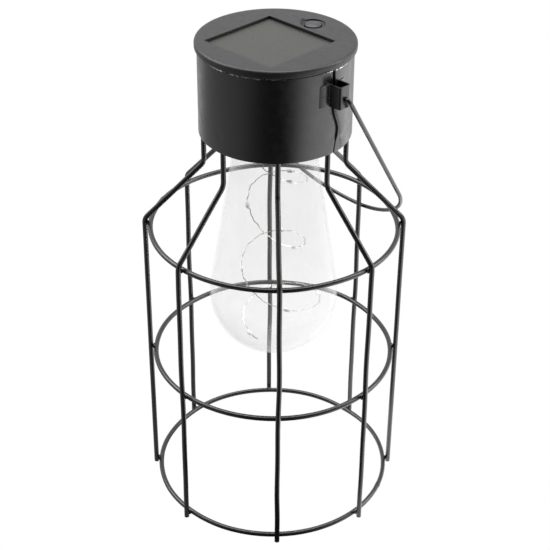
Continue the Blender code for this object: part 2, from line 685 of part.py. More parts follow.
def make_board(unit):
    half = BOARD_LENGTH / 2
    low = (-half, BOARD_INNER_EDGE, BOARD_BOTTOM)
    bm = block(bmesh.new(), low, (half, BOARD_OUTER_EDGE, BOARD_TOP))
    board = add_mesh("circuit_board", bm, BOARD_GREEN, unit)
    holes = bmesh.new()
    for place in board_screw_places():
        disc(holes, BOARD_SCREW_SHANK + SCREW_CLEARANCE, BOARD_BOTTOM - GAP, BOARD_TOP + GAP, 12, place)
    boolean(board, add_cutter("board_holes", holes), "DIFFERENCE")

    seat = BOARD_TOP + GAP
    components = (("driver_chip", CHIP_SIZE, CHIP_PLACE), ("inductor", INDUCTOR_SIZE, INDUCTOR_PLACE))
    for name, size, place in components:
        middle = Vector((place[0], BOARD_INNER_EDGE + place[1], seat + size[2] / 2))
        reach = Vector(size) / 2
        add_mesh(name, block(bmesh.new(), middle - reach, middle + reach, 0.0002), DARK_PLASTIC, unit)

    half = SWITCH_SIDE / 2
    low = (-half, BUTTON_OFFSET - half, seat)
    switch = block(bmesh.new(), low, (half, BUTTON_OFFSET + half, SWITCH_TOP), 0.0003)
    switch = add_mesh("push_switch", switch, SWITCH_METAL, unit)
    well_bottom = SWITCH_TOP - PLUNGER_INSERT - BUTTON_TRAVEL - GAP
    well = disc(bmesh.new(), PLUNGER_RADIUS + GAP, well_bottom, SWITCH_TOP + GAP, 16, (0, BUTTON_OFFSET))
    boolean(switch, add_cutter("switch_well", well), "DIFFERENCE")

    for index, place in enumerate(board_screw_places()):
        head = BOARD_BOTTOM - GAP
        sizes = (BOARD_SCREW_HEAD, BOARD_SCREW_HEAD_HEIGHT, BOARD_SCREW_SHANK)
        make_screw(f"board_screw_{index + 1}", unit, place, head, sizes, BOARD_TOP + BOARD_SCREW_BITE)


def make_screw(name, unit, place, head_top, sizes, tip):
    """A pan-head screw driven upwards: sizes are the head's radius and height and the shank's radius."""
    head_radius, head_height, shank = sizes
    bottom = head_top - head_height
    outline = [(0, bottom), (head_radius * 0.7, bottom), (head_radius, bottom + head_height * 0.5)]
    outline += [(head_radius, head_top), (shank, head_top), (shank, tip - shank), (shank / 3, tip), (0, tip)]
    add_mesh(name, turned(bmesh.new(), outline, 14, place), NICKEL, unit, smooth=True)


def make_battery(unit):
    radius = CELL_DIAMETER / 2
    body_end = BATTERY_END - CELL_NUB_LENGTH
    bevel = CELL_NUB_LENGTH / 2
    outline = [(0, -BATTERY_END), (radius - bevel, -BATTERY_END), (radius, bevel - BATTERY_END)]
    outline += [(radius, body_end - bevel), (radius - bevel, body_end), (CELL_NUB_RADIUS, body_end)]
    outline += [(CELL_NUB_RADIUS, BATTERY_END), (0, BATTERY_END)]
    bm = turned(bmesh.new(), outline, 24)
    lay_down = Matrix.Translation((0, BATTERY_OFFSET, BATTERY_HEIGHT)) @ Matrix.Rotation(math.pi / 2, 4, "Y")
    bmesh.ops.transform(bm, matrix=lay_down, verts=bm.verts)
    add_mesh("battery", bm, BATTERY_SLEEVE, unit, smooth=True)

    spring_end = -BATTERY_END - SPRING_ROOM
    plate_end = BATTERY_END + CONTACT_SHEET + 2 * GAP
    half = CELL_DIAMETER / 2 + HOLDER_CLEARANCE
    top = BATTERY_HEIGHT + HOLDER_RISE
    low = Vector((spring_end, BATTERY_OFFSET - half, POST_BOTTOM + HOLDER_FLOOR))
    high = Vector((plate_end, BATTERY_OFFSET + half, top))
    wall = Vector((HOLDER_WALL, HOLDER_WALL, 0))
    shell = block(bmesh.new(), low - wall - Vector((0, 0, HOLDER_FLOOR)), high + wall)
    holder = add_mesh("battery_holder", shell, DARK_PLASTIC, unit)
    inside = block(bmesh.new(), low, high + Vector((0, 0, HOLDER_WALL)))
    boolean(holder, add_cutter("holder_inside", inside), "DIFFERENCE")

    half = CONTACT_SIDE / 2
    low = (BATTERY_END + GAP, BATTERY_OFFSET - half, BATTERY_HEIGHT - half)
    high = (BATTERY_END + GAP + CONTACT_SHEET, BATTERY_OFFSET + half, BATTERY_HEIGHT + half)
    add_mesh("plate_contact", block(bmesh.new(), low, high), NICKEL, unit)

    start = spring_end + GAP + SPRING_WIRE / 2
    length = SPRING_ROOM - 2 * GAP - SPRING_WIRE
    steps = 12 * SPRING_TURNS
    path = []
    for step in range(steps + 1):
        share = step / steps
        radius = SPRING_LARGE_RADIUS + (SPRING_SMALL_RADIUS - SPRING_LARGE_RADIUS) * share
        angle = math.tau * SPRING_TURNS * share
        across = BATTERY_OFFSET + radius * math.cos(angle)
        path.append(Vector((start + length * share, across, BATTERY_HEIGHT + radius * math.sin(angle))))
    add_wire("battery_spring", path, SPRING_WIRE / 2, NICKEL, unit, fine=1)


def make_leads(unit):
    """Cell leads go straight down to the board. Battery leads rise from the contacts to its underside."""
    low = BOARD_TOP + GAP
    high = CELL_TOP - CELL_THICKNESS - GAP
    for (x, y), name, finish in zip(
        cell_lead_places(), ("cell_lead_negative", "cell_lead_positive"), (LEAD_BLACK, LEAD_RED)
    ):
        path = [Vector((x, y, low + (high - low) * step / 4)) for step in range(5)]
        add_wire(name, path, LEAD_DIAMETER / 2, finish, unit, fine=1)
    under = BOARD_BOTTOM - GAP
    level = BATTERY_HEIGHT + CELL_DIAMETER / 2 + GAP + LEAD_DIAMETER / 2
    leads = ((-1, "battery_lead_negative", LEAD_BLACK), (1, "battery_lead_positive", LEAD_RED))
    for side, name, finish in leads:
        contact = BATTERY_END + GAP + CONTACT_SHEET / 2
        rise = BATTERY_HEIGHT + CONTACT_SIDE / 2 + GAP
        if side < 0:
            contact = BATTERY_END + SPRING_ROOM / 2
            rise = BATTERY_HEIGHT + SPRING_LARGE_RADIUS + SPRING_WIRE
        inner = BOARD_LENGTH / 2 - BOARD_SCREW_INSET / 2
        corners = [
            (side * contact, BATTERY_OFFSET, rise),
            (side * contact, BATTERY_OFFSET, level),
            (side * inner * 0.5, BOARD_INNER_EDGE + BOARD_SCREW_INSET * 2, level),
            (side * inner * 0.5, BOARD_INNER_EDGE + BOARD_SCREW_INSET * 2, under),
        ]
        add_wire(name, rounded_path(corners, LEAD_BEND_RADIUS, 4), LEAD_DIAMETER / 2, finish, unit, fine=1)


# ---------------------------------------------------------------- bottom cover, bulb and light string
def make_bottom_cover(unit):
    spigot_inside = SPIGOT_RADIUS - SPIGOT_WALL
    spigot_top = PLATE_TOP + SPIGOT_HEIGHT
    socket_outside = SOCKET_RADIUS + SOCKET_WALL
    socket_bottom = PLATE_BOTTOM - SOCKET_DEPTH
    outline = [(0, PLATE_TOP), (spigot_inside, PLATE_TOP), (spigot_inside, spigot_top)]
    outline += [(SPIGOT_RADIUS, spigot_top), (SPIGOT_RADIUS, PLATE_TOP), (SKIRT_RADIUS, PLATE_TOP)]
    outline += [(SKIRT_RADIUS, PLATE_BOTTOM), (socket_outside, PLATE_BOTTOM), (socket_outside, socket_bottom)]
    outline += [(SOCKET_RADIUS, socket_bottom), (SOCKET_RADIUS, PLATE_BOTTOM), (0, PLATE_BOTTOM)]
    cover = add_mesh("bottom_cover", turned(bmesh.new(), outline, 48), PLASTIC_BLACK, unit, smooth=True)
    holes = bmesh.new()
    for place in screw_places():
        disc(holes, SCREW_SHANK + SCREW_CLEARANCE, PLATE_BOTTOM - GAP, PLATE_TOP + GAP, 12, place)
    disc(holes, STRING_HOLE_RADIUS, PLATE_BOTTOM - GAP, PLATE_TOP + GAP, 12, (0, STRING_ENTRY))
    boolean(cover, add_cutter("cover_holes", holes), "DIFFERENCE")

    seal_inside = SPIGOT_RADIUS + GAP
    outline = [(SKIRT_RADIUS, SEAL_TOP), (SKIRT_RADIUS, SEAL_TOP - SEAL_THICKNESS)]
    outline += [(seal_inside, SEAL_TOP - SEAL_THICKNESS), (seal_inside, SEAL_TOP)]
    add_mesh("cover_seal", turned(bmesh.new(), outline, 48), SEAL_RUBBER, unit, smooth=True)

    for index, place in enumerate(screw_places()):
        sizes = (SCREW_HEAD, SCREW_HEAD_HEIGHT, SCREW_SHANK)
        tip = POST_BOTTOM + SCREW_BITE
        make_screw(f"cover_screw_{index + 1}", unit, place, PLATE_BOTTOM - GAP, sizes, tip)


def bulb_side(inset, steps):
    """One wall of the bulb from its lowest point to the top of the neck: round end, straight flare, neck."""
    ball = BULB_RADIUS - inset
    neck = NECK_RADIUS - inset
    rise = NECK_BOTTOM - BULB_CENTRE_HEIGHT
    away = math.hypot(neck, rise)
    flare = math.asin(ball / away) - math.atan2(neck, rise)
    sweep = math.pi / 2 + flare
    side = [
        (ball * math.sin(sweep * step / steps), BULB_CENTRE_HEIGHT - ball * math.cos(sweep * step / steps))
        for step in range(steps + 1)
    ]
    return side + [(neck, NECK_BOTTOM), (neck, NECK_TOP)]


def bulb_inside_at(height):
    """The bulb's inner radius at this height, read off its inner wall."""
    side = bulb_side(BULB_WALL, 24)
    for (r0, z0), (r1, z1) in zip(side, side[1:]):
        if z0 <= height <= z1:
            return r0 + (r1 - r0) * (height - z0) / max(z1 - z0, 1e-9)
    return NECK_RADIUS - BULB_WALL


def make_bulb(unit):
    outline = bulb_side(0, 10) + bulb_side(BULB_WALL, 9)[::-1]
    add_mesh("bulb", turned(bmesh.new(), outline, 32), CLEAR_BULB, unit, smooth=True)


def string_point(share):
    """A point of the light string: down through the bottom cover, then in a loose, uneven coil."""
    hole_top = BOARD_BOTTOM - GAP
    coil_top = NECK_BOTTOM - STRING_TOP_CLEARANCE
    coil_bottom = BULB_CENTRE_HEIGHT - BULB_RADIUS + BULB_WALL + STRING_END_CLEARANCE
    if share < STRING_LEAD_SHARE:
        return Vector((0, STRING_ENTRY, hole_top + (NECK_BOTTOM - hole_top) * share / STRING_LEAD_SHARE))
    along = (share - STRING_LEAD_SHARE) / (1 - STRING_LEAD_SHARE)
    height = NECK_BOTTOM + (coil_bottom - NECK_BOTTOM) * along
    height += STRING_WAVE * math.sin(math.tau * STRING_TURNS * along) * math.sin(math.pi * along)
    grown = min(1, max(0, (NECK_BOTTOM - height) / (NECK_BOTTOM - coil_top)))
    ease = grown * grown * (3 - 2 * grown)
    wander = 1 + sum(size * math.sin(rate * along + start) for size, rate, start in STRING_WANDER)
    inside = bulb_inside_at(max(height, coil_bottom)) * STRING_FILL
    radius = STRING_ENTRY + (inside * wander - STRING_ENTRY) * ease
    angle = math.pi / 2 + math.tau * STRING_TURNS * along * ease
    return Vector((radius * math.cos(angle), radius * math.sin(angle), height))


def make_light_string(unit):
    """The string with its beads, each a swelling of the wire over BEAD_LENGTH."""
    fine = [string_point(step / 1200) for step in range(1201)]
    travelled = [0.0]
    for first, second in zip(fine, fine[1:]):
        travelled.append(travelled[-1] + (second - first).length)
    total = travelled[-1]
    ratio = BEAD_RADIUS / STRING_RADIUS
    first_bead = total * FIRST_BEAD_SHARE
    spacing = (total * LAST_BEAD_SHARE - first_bead) / (BEAD_COUNT - 1)
    beads = [first_bead + spacing * index for index in range(BEAD_COUNT)]
    shape = {-0.5: 1.0, -0.3: ratio * 0.8, 0.0: ratio, 0.3: ratio * 0.8, 0.5: 1.0}
    marks = []
    plain = 70
    for index in range(plain + 1):
        where = total * index / plain
        if all(abs(where - bead) > BEAD_LENGTH for bead in beads):
            marks.append((where, 1.0))
    for bead in beads:
        marks += [(bead + BEAD_LENGTH * offset, swell) for offset, swell in shape.items()]
    marks.sort()
    path = []
    index = 0
    for where, _ in marks:
        while travelled[index + 1] < where and index < len(fine) - 2:
            index += 1
        share = (where - travelled[index]) / (travelled[index + 1] - travelled[index])
        path.append(fine[index].lerp(fine[index + 1], share))
    swells = [swell for _, swell in marks]
    add_wire("light_string", path, STRING_RADIUS, STRING_SILVER, unit, fine=1, swell=swells)


# ---------------------------------------------------------------- the whole light
def main():
    clear_scene()
    cage = add_empty("cage_origin", (0, 0, 0))
    pivot = add_empty("handle_axis", (0, 0, PIVOT_HEIGHT), cage)
    unit = add_empty("solar_unit_axis", (0, 0, 0), cage)
    button = add_empty("button_axis", (0, BUTTON_OFFSET, CAP_TOP), unit)
    make_cage(cage)
    make_collar(cage)
    make_lugs(cage)
    make_handle(pivot)
    make_top_cap(unit)
    make_window(unit)
    make_button(button)
    make_board(unit)
    make_battery(unit)
    make_leads(unit)
    make_bottom_cover(unit)
    make_bulb(unit)
    make_light_string(unit)


main()
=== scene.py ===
import json
import math
import random

import bmesh
import bpy
from mathutils import Matrix, Vector


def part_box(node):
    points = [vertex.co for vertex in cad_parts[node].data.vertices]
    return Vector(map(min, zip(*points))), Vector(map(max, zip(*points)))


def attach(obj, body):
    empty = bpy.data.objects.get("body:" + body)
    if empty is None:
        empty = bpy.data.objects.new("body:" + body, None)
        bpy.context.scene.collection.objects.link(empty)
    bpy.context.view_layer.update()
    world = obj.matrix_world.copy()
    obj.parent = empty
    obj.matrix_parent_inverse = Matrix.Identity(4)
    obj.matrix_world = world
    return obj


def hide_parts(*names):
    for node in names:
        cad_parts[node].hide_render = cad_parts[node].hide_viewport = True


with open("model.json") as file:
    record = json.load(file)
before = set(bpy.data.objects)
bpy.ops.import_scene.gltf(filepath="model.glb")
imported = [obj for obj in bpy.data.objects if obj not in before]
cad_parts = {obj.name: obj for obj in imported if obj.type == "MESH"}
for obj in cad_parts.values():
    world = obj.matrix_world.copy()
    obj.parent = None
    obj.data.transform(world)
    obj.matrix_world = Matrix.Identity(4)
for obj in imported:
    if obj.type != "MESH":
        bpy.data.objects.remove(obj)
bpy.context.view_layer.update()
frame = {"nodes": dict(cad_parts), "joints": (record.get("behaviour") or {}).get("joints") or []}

# ---- sizes read from the frame (metres)
WIRE_LOW, WIRE_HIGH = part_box("cage_wire_1")
WIRE_RADIUS = (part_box("cage_wire_1")[1].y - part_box("cage_wire_1")[0].y) / 2
CAGE_RADIUS = WIRE_HIGH.x - WIRE_RADIUS
STUB_RADIUS = WIRE_LOW.x + WIRE_RADIUS
STUB_TOP = WIRE_HIGH.z
COLLAR_LOW, COLLAR_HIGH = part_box("collar")
COLLAR_RADIUS = (COLLAR_HIGH.x - COLLAR_LOW.x) / 2
CAP_LOW, CAP_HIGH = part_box("top_cap")
CAP_RADIUS = (CAP_HIGH.x - CAP_LOW.x) / 2
LUG_LOW, LUG_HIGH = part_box("lug_right")
HANDLE_LOW, HANDLE_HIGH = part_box("handle")
COVER_LOW, COVER_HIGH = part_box("window_cover")
CELL_LOW, CELL_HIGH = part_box("solar_cell")
BUTTON_LOW, BUTTON_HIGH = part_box("power_button")
PLATE_LOW, PLATE_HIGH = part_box("bottom_cover")
BULB_LOW, BULB_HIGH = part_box("bulb")
PIVOT = Vector(next(joint["pos_m"] for joint in frame["joints"] if joint["name"] == "handle_swing"))

# ---- sizes that repeat part.py's (metres, radians)
GAP = 0.0003
WIRE_COUNT = 8
WIRE_DRIFT = {3: math.radians(1.4), 7: math.radians(1.8)}  # of the two wires welded out of line
SHOULDER_BEND_HEIGHT = 0.1533
COLLAR_BEND_HEIGHT = 0.1842
WIRE_BEND_RADIUS = 0.0060
COLLAR_WALL = 0.0008
SEAM_ANGLE = math.radians(3.5)
LUG_WIDTH = 0.0069
LUG_SHEET = 0.0009
LUG_FOOT_LENGTH = 0.0047
LUG_BEND_RADIUS = 0.0009
HANDLE_RADIUS = 0.0010
HANDLE_LENGTH = 0.1174
HANDLE_SIDE_LENGTH = 0.0800
HANDLE_ARCH_HALF_WIDTH = 0.0429
HANDLE_SKEW = -0.0035
HANDLE_ARCH_POWERS = (1.65, 2.3)
HANDLE_HOOK_RADIUS = 0.0019
HANDLE_HOOK_LENGTH = 0.0034
CAP_EDGE_THICKNESS = 0.0036
CAP_WALL = 0.0016
CAP_FLOOR = 0.0018
WINDOW_CLEARANCE = 0.0003
BUTTON_OFFSET = 0.0245
BUTTON_RADIUS = 0.00385
BUTTON_DOME = 0.0011
BUTTON_BORE = 0.00425
BUTTON_RING_WIDTH = 0.0016
BUTTON_RING_DEPTH = 0.0010
BUTTON_FLANGE_THICKNESS = 0.0010
MARK_DISTANCE = 0.0072
MARK_RADIUS = 0.0009
MARK_HEIGHT = 0.0004
COVER_PLATE = 0.0016
SPIGOT_WALL = 0.0014
SPIGOT_CLEARANCE = 0.0004
SOCKET_WALL = 0.0016
SOCKET_DEPTH = 0.0100
SOCKET_CLEARANCE = 0.0004
SCREW_COUNT = 3
SCREW_CIRCLE = 0.0268
SCREW_HEAD = 0.0021
SCREW_HEAD_HEIGHT = 0.0014
SCREW_POST_RADIUS = 0.0030
BULB_WALL = 0.0008
NECK_RADIUS = 0.0176
BEAD_COUNT = 10
STRING_TURNS = 3.5
STRING_FILL = 0.62
STRING_ENTRY = 0.0040
STRING_HOLE_RADIUS = 0.0012
STRING_TOP_CLEARANCE = 0.0120
STRING_END_CLEARANCE = 0.0060
STRING_LEAD_SHARE = 0.14
STRING_WAVE = 0.0040
FIRST_BEAD_SHARE = 0.22
LAST_BEAD_SHARE = 0.985

# ---- sizes of the finer model alone
CROSS_WELD = (0.0007, 0.0014, 0.0013)  # half sizes of a weld between wire and ring: outwards, along, up
BUTT_WELD_SWELL = 0.16  # of a ring's wire at its own weld
BUTT_WELD_LENGTH = 0.0016
INNER_WALL_BULGE = 0.0003  # how far the collar's inner wall may stand in, clear of the skirt
COLLAR_EDGE_ROUND = 0.00028
SEAM_PEAK = 0.2135  # height at which the seam stands furthest round
WELD_HEIGHT = 0.0088  # of a spot weld above the collar's lower rim
WELD_DENT_RADIUS = 0.0022
WELD_DENT_DEPTH = 0.00014
PIVOT_CLEARANCE = 0.0002  # part.py has 0.0003 here
CAP_TOP_ROUND = 0.0013
CAP_BOTTOM_ROUND = 0.0008
CAP_CHAMFER = 0.0003
RECESS_CORNER = 0.0007
RING_ROUND = 0.0007  # at the foot of the button's ring
BUTTON_ROUND = 0.0004
SCREW_HOLE_RADIUS = 0.0014
EJECTOR_COUNT = 6  # round marks in the bottom cover
EJECTOR_CIRCLE = 0.0245
EJECTOR_RADIUS = 0.0018
EJECTOR_DEPTH = 0.00015
CUT_PAST = 0.001  # how far a cutter runs past what it cuts
SCREW_SLOT = (0.0024, 0.0005, 0.0014)
STRING_RADIUS = 0.00022  # part.py has 0.00035
STRING_STEPS = 900
BEAD_RADIUS = 0.00105  # part.py has 0.00110
BEAD_HALF_LENGTH = 0.0019
CHIP_SIZE = (0.0006, 0.0004, 0.0010)

BULB_RADIUS = (BULB_HIGH.x - BULB_LOW.x) / 2
BULB_CENTRE_HEIGHT = BULB_LOW.z + BULB_RADIUS
LUG_FACE = LUG_HIGH.x
SKIRT_RADIUS = (PLATE_HIGH.x - PLATE_LOW.x) / 2
NECK_BOTTOM = PLATE_LOW.z - GAP

# ---- camera, light and floor
VIEW_TURN = math.radians(44.2)  # from the camera's own axes to the object's, about Z
CAMERA_PLACE = (0.00117, -0.5746, 0.4873)
CAMERA_PITCH = -0.568
CAMERA_YAW = -0.001
CAMERA_ROLL = 0.009
CAMERA_LENS = 89.1
# What the object reflects of the light and the floor, which the camera itself sees as white. Each is a smooth
# step over how far a direction points to the named side: from, to, and the strength at each.
SKY_FRONT = (-0.35, 0.75, 1.08, 0.04)
FLOOR_RIGHT = (0.25, 0.95, 0.0, 2.3)
FLOOR_LEFT = (0.1, 1.0, 0.0, 0.5)
FLOOR_BACK = (-0.2, 0.9, 0.0, 0.8)
FLOOR_LEAST = 0.05
FLOOR_SIZE = 6
FLOOR_DROP = 0.0002  # below the ends of the wires


def camera_side(x, y, z=0.0):
    """A place given right of, away from and above the camera's view, as a place round the object."""
    turned, left = math.cos(VIEW_TURN), math.sin(VIEW_TURN)
    return Vector((x * turned - y * left, x * left + y * turned, z))


def new_object(name, data):
    obj = bpy.data.objects.new(name, data)
    bpy.context.scene.collection.objects.link(obj)
    return obj


def make_camera():
    data = bpy.data.cameras.new("camera")
    data.lens = CAMERA_LENS
    data.clip_start = 0.01
    camera = new_object("camera", data)
    level = math.cos(CAMERA_PITCH)
    ahead = Vector((math.sin(CAMERA_YAW) * level, math.cos(CAMERA_YAW) * level, math.sin(CAMERA_PITCH)))
    right = Vector((math.cos(CAMERA_YAW), -math.sin(CAMERA_YAW), 0))
    up = right.cross(ahead)
    rolled_right = right * math.cos(CAMERA_ROLL) + up * math.sin(CAMERA_ROLL)
    rolled_up = up * math.cos(CAMERA_ROLL) - right * math.sin(CAMERA_ROLL)
    columns = Matrix((rolled_right, rolled_up, -ahead)).transposed()
    turn = Matrix.Rotation(VIEW_TURN, 3, "Z")
    camera.matrix_world = Matrix.Translation(camera_side(*CAMERA_PLACE)) @ (turn @ columns).to_4x4()
    bpy.context.scene.camera = camera


def add_softbox(name, place, target, size, power):
    data = bpy.data.lights.new(name, "AREA")
    data.shape = "RECTANGLE"
    data.size, data.size_y = size
    data.energy = power
    light = new_object(name, data)
    place = camera_side(*place)
    aim = (camera_side(*target) - place).to_track_quat("-Z", "Y")
    light.matrix_world = Matrix.Translation(place) @ aim.to_matrix().to_4x4()


class Nodes:
    """Short calls for building one shader tree."""

    def __init__(self, tree):
        self.tree = tree

    def feed(self, node, inputs):
        """Sets a node's inputs, and links those whose value is another node's output."""
        for name, value in inputs.items():
            if isinstance(value, bpy.types.NodeSocket):
                self.tree.links.new(value, node.inputs[name])
            else:
                node.inputs[name].default_value = value

    def add(self, kind, inputs=None, **settings):
        node = self.tree.nodes.new(kind)
        for key, value in settings.items():
            setattr(node, key, value)
        self.feed(node, inputs or {})
        return node

    def math(self, operation, first, second=0.0):
        return self.add("ShaderNodeMath", {0: first, 1: second}, operation=operation).outputs[0]

    def ramp(self, value, low, high, out_low=0.0, out_high=1.0):
        """A smooth step of value from low to high."""
        inputs = {"Value": value, "From Min": low, "From Max": high, "To Min": out_low, "To Max": out_high}
        return self.add("ShaderNodeMapRange", inputs, interpolation_type="SMOOTHSTEP").outputs["Result"]

    def vector(self, operation, *vectors):
        return self.add("ShaderNodeVectorMath", dict(enumerate(vectors)), operation=operation)

    def dot(self, first, second):
        return self.vector("DOT_PRODUCT", first, second).outputs["Value"]

    def noise(self, place, scale, detail=2.0, roughness=0.5):
        inputs = {"Vector": place, "Scale": scale, "Detail": detail, "Roughness": roughness}
        return self.add("ShaderNodeTexNoise", inputs).outputs["Fac"]

    def mix_colour(self, share, *colours):
        first, second = (each if isinstance(each, bpy.types.NodeSocket) else (*each, 1) for each in colours)
        return self.add("ShaderNodeMix", {0: share, 6: first, 7: second}, data_type="RGBA").outputs[2]

    def bump(self, height, strength, distance):
        inputs = {"Height": height, "Strength": strength, "Distance": distance}
        return self.add("ShaderNodeBump", inputs).outputs["Normal"]

    def white_to_camera(self, reflected):
        """A strength of 1 where the camera looks, and this one for every other ray."""
        seen = self.add("ShaderNodeLightPath").outputs["Is Camera Ray"]
        return self.add("ShaderNodeMix", {0: seen, 2: reflected, 3: 1.0}, data_type="FLOAT").outputs[0]


def make_world():
    world = bpy.data.worlds.new("studio")
    bpy.context.scene.world = world
    world.use_nodes = True
    nodes = Nodes(world.node_tree)
    world.node_tree.nodes.clear()
    place = nodes.add("ShaderNodeTexCoord").outputs["Generated"]
    reflected = nodes.ramp(nodes.dot(place, camera_side(0, -1)), *SKY_FRONT)
    inputs = {"Color": (1, 1, 1, 1), "Strength": nodes.white_to_camera(reflected)}
    background = nodes.add("ShaderNodeBackground", inputs)
    nodes.add("ShaderNodeOutputWorld", {"Surface": background.outputs[0]})


def make_floor():
    """White to the camera. To the object it is bright on the right, paler on the left and dark in front.
    From below it is clear, so that the underside can be seen."""
    bpy.ops.mesh.primitive_plane_add(size=FLOOR_SIZE, location=(0, 0, -FLOOR_DROP))
    floor = bpy.context.object
    floor.name = "studio_floor"
    material = bpy.data.materials.new("studio_floor")
    material.use_nodes = True
    nodes = Nodes(material.node_tree)
    material.node_tree.nodes.clear()
    place = nodes.add("ShaderNodeTexCoord").outputs["Object"]
    flat = nodes.vector("NORMALIZE", place).outputs["Vector"]
    across = nodes.dot(flat, camera_side(1, 0))
    away = nodes.dot(flat, camera_side(0, 1))
    right_light = nodes.ramp(across, *FLOOR_RIGHT)
    left_light = nodes.ramp(nodes.math("MULTIPLY", across, -1), *FLOOR_LEFT)
    back_light = nodes.ramp(away, *FLOOR_BACK)
    sides = nodes.math("ADD", nodes.math("ADD", right_light, left_light), FLOOR_LEAST)
    reflected = nodes.math("MAXIMUM", sides, back_light)
    glow = nodes.add("ShaderNodeEmission", {"Strength": nodes.white_to_camera(reflected)})
    clear = nodes.add("ShaderNodeBsdfTransparent")
    from_below = nodes.add("ShaderNodeNewGeometry").outputs["Backfacing"]
    surface = nodes.add("ShaderNodeMixShader", {0: from_below, 1: glow.outputs[0], 2: clear.outputs[0]})
    nodes.add("ShaderNodeOutputMaterial", {"Surface": surface.outputs[0]})
    floor.data.materials.append(material)


def make_lights():
    add_softbox("left_softbox", (-0.8, 0.3, 1.0), (0, 0, 0.12), (0.7, 0.9), 12)
    add_softbox("right_softbox", (1.0, 0.1, 0.8), (0, 0, 0.15), (0.5, 0.9), 10)
    add_softbox("top_softbox", (0.0, 0.2, 1.5), (0, 0, 0), (1.1, 1.1), 22)


# ---- materials
def new_material(name):
    material = bpy.data.materials.new(name)
    material.use_nodes = True
    nodes = Nodes(material.node_tree)
    shader = material.node_tree.nodes["Principled BSDF"]
    place = nodes.add("ShaderNodeTexCoord").outputs["Object"]
    return material, nodes, shader, place


def azimuth_mask(nodes, place, angle, half_width):
    """1 near this angle round the Z axis, fading to 0 at half_width."""
    flat = nodes.vector("MULTIPLY", place, (1, 1, 0)).outputs["Vector"]
    unit = nodes.vector("NORMALIZE", flat).outputs["Vector"]
    facing = nodes.dot(unit, around(1, angle))
    return nodes.ramp(facing, math.cos(half_width), math.cos(half_width * 0.4))


def black_paint(name, rim_height=None):
    """Satin black paint on steel: orange peel, dust, and bare metal along a worn rim. In two stretches of the
    rim the bare metal is laid thickest as a painted highlight where the rim edge catches the light, so there
    it is partly wear and partly painted highlight.
    """
    material, nodes, shader, place = new_material(name)
    cloud = nodes.noise(place, 60, 3)
    peel = nodes.noise(place, 1500, 2)
    colour = nodes.mix_colour(cloud, (0.0045, 0.0045, 0.0048), (0.0085, 0.0085, 0.0088))
    roughness = nodes.ramp(nodes.noise(place, 220, 3, 0.5), 0.3, 0.7, 0.24, 0.34)
    if rim_height is not None:
        split = nodes.add("ShaderNodeSeparateXYZ", {0: place})
        uneven = nodes.math("SUBTRACT", nodes.noise(place, 700, 3, 0.6), 0.5)
        ragged = nodes.math("MULTIPLY", uneven, 0.0016)
        height = nodes.math("ADD", split.outputs["Z"], ragged)
        edge = nodes.ramp(height, rim_height - 0.0006, rim_height - 0.0003)
        speckle = nodes.ramp(nodes.noise(place, 300, 4, 0.7), 0.36, 0.56)
        # Two stretches of the rim are painted highlights: bare metal is laid there where the rim edge catches
        # the light.
        front_left_highlight = azimuth_mask(nodes, place, math.radians(-70), math.radians(34))
        right = azimuth_mask(nodes, place, math.radians(3), math.radians(16))
        faint = nodes.ramp(nodes.noise(place, 90, 3, 0.6), 0.55, 0.72, 0.0, 0.7)
        worn_and_highlit = nodes.math("MAXIMUM", nodes.math("MAXIMUM", front_left_highlight, right), faint)
        wear_and_highlight = nodes.math("MULTIPLY", nodes.math("MULTIPLY", edge, speckle), worn_and_highlit)
        # Silver: worn bare metal all round, and a painted highlight in the two stretches above.
        colour = nodes.mix_colour(wear_and_highlight, colour, (0.55, 0.54, 0.52))
        nodes.feed(shader, {"Metallic": nodes.math("MULTIPLY", wear_and_highlight, 0.9)})
        roughness = nodes.math("ADD", roughness, nodes.math("MULTIPLY", wear_and_highlight, -0.04))
    nodes.feed(shader, {"Base Color": colour, "Roughness": roughness, "IOR": 1.55})
    nodes.feed(shader, {"Normal": nodes.bump(peel, 0.05, 0.00004)})
    return material


def moulded_plastic(name, dark, light, low, high):
    material, nodes, shader, place = new_material(name)
    cloud = nodes.noise(place, 45, 3)
    inputs = {
        "Base Color": nodes.mix_colour(cloud, dark, light),
        "Roughness": nodes.ramp(nodes.noise(place, 300, 3), 0.3, 0.7, low, high),
        "Normal": nodes.bump(nodes.noise(place, 2600, 2), 0.35, 0.00005),
        "Specular IOR Level": 0.36,
    }
    nodes.feed(shader, inputs)
    return material


def plated_metal(name, colour):
    material, nodes, shader, place = new_material(name)
    shade = tuple(channel * 0.75 for channel in colour)
    inputs = {
        "Base Color": nodes.mix_colour(nodes.noise(place, 500, 3), shade, colour),
        "Roughness": nodes.ramp(nodes.noise(place, 900, 3), 0.3, 0.7, 0.2, 0.36),
        "Metallic": 1.0,
    }
    nodes.feed(shader, inputs)
    return material


def clear_shell(name):
    """A thin clear plastic shell with a slight haze, thicker to look through at its edges."""
    material, nodes, shader, place = new_material(name)
    rim = nodes.add("ShaderNodeLayerWeight", {"Blend": 0.25}).outputs["Facing"]
    haze = nodes.ramp(nodes.noise(place, 70, 3), 0.3, 0.7, 0.030, 0.045)
    inputs = {
        "Base Color": (0.74, 0.74, 0.74, 1),
        "Roughness": 0.06,
        "IOR": 1.46,
        "Alpha": nodes.math("ADD", haze, nodes.math("MULTIPLY", rim, 0.28)),
        "Normal": nodes.bump(nodes.noise(place, 55, 2), 0.25, 0.0004),
    }
    nodes.feed(shader, inputs)
    return material


def window_film(name):
    """The cell's cover: resin hazed by weather, with faint clouds and a finely frosted surface."""
    material, nodes, shader, place = new_material(name)
    cloud = nodes.noise(place, 90, 4)
    inputs = {
        "Base Color": nodes.mix_colour(cloud, (0.022, 0.024, 0.019), (0.034, 0.036, 0.029)),
        "Roughness": nodes.ramp(cloud, 0.3, 0.7, 0.26, 0.34),
        "Normal": nodes.bump(nodes.noise(place, 1800, 2), 0.08, 0.00003),
        "Alpha": 0.80,
    }
    nodes.feed(shader, inputs)
    return material


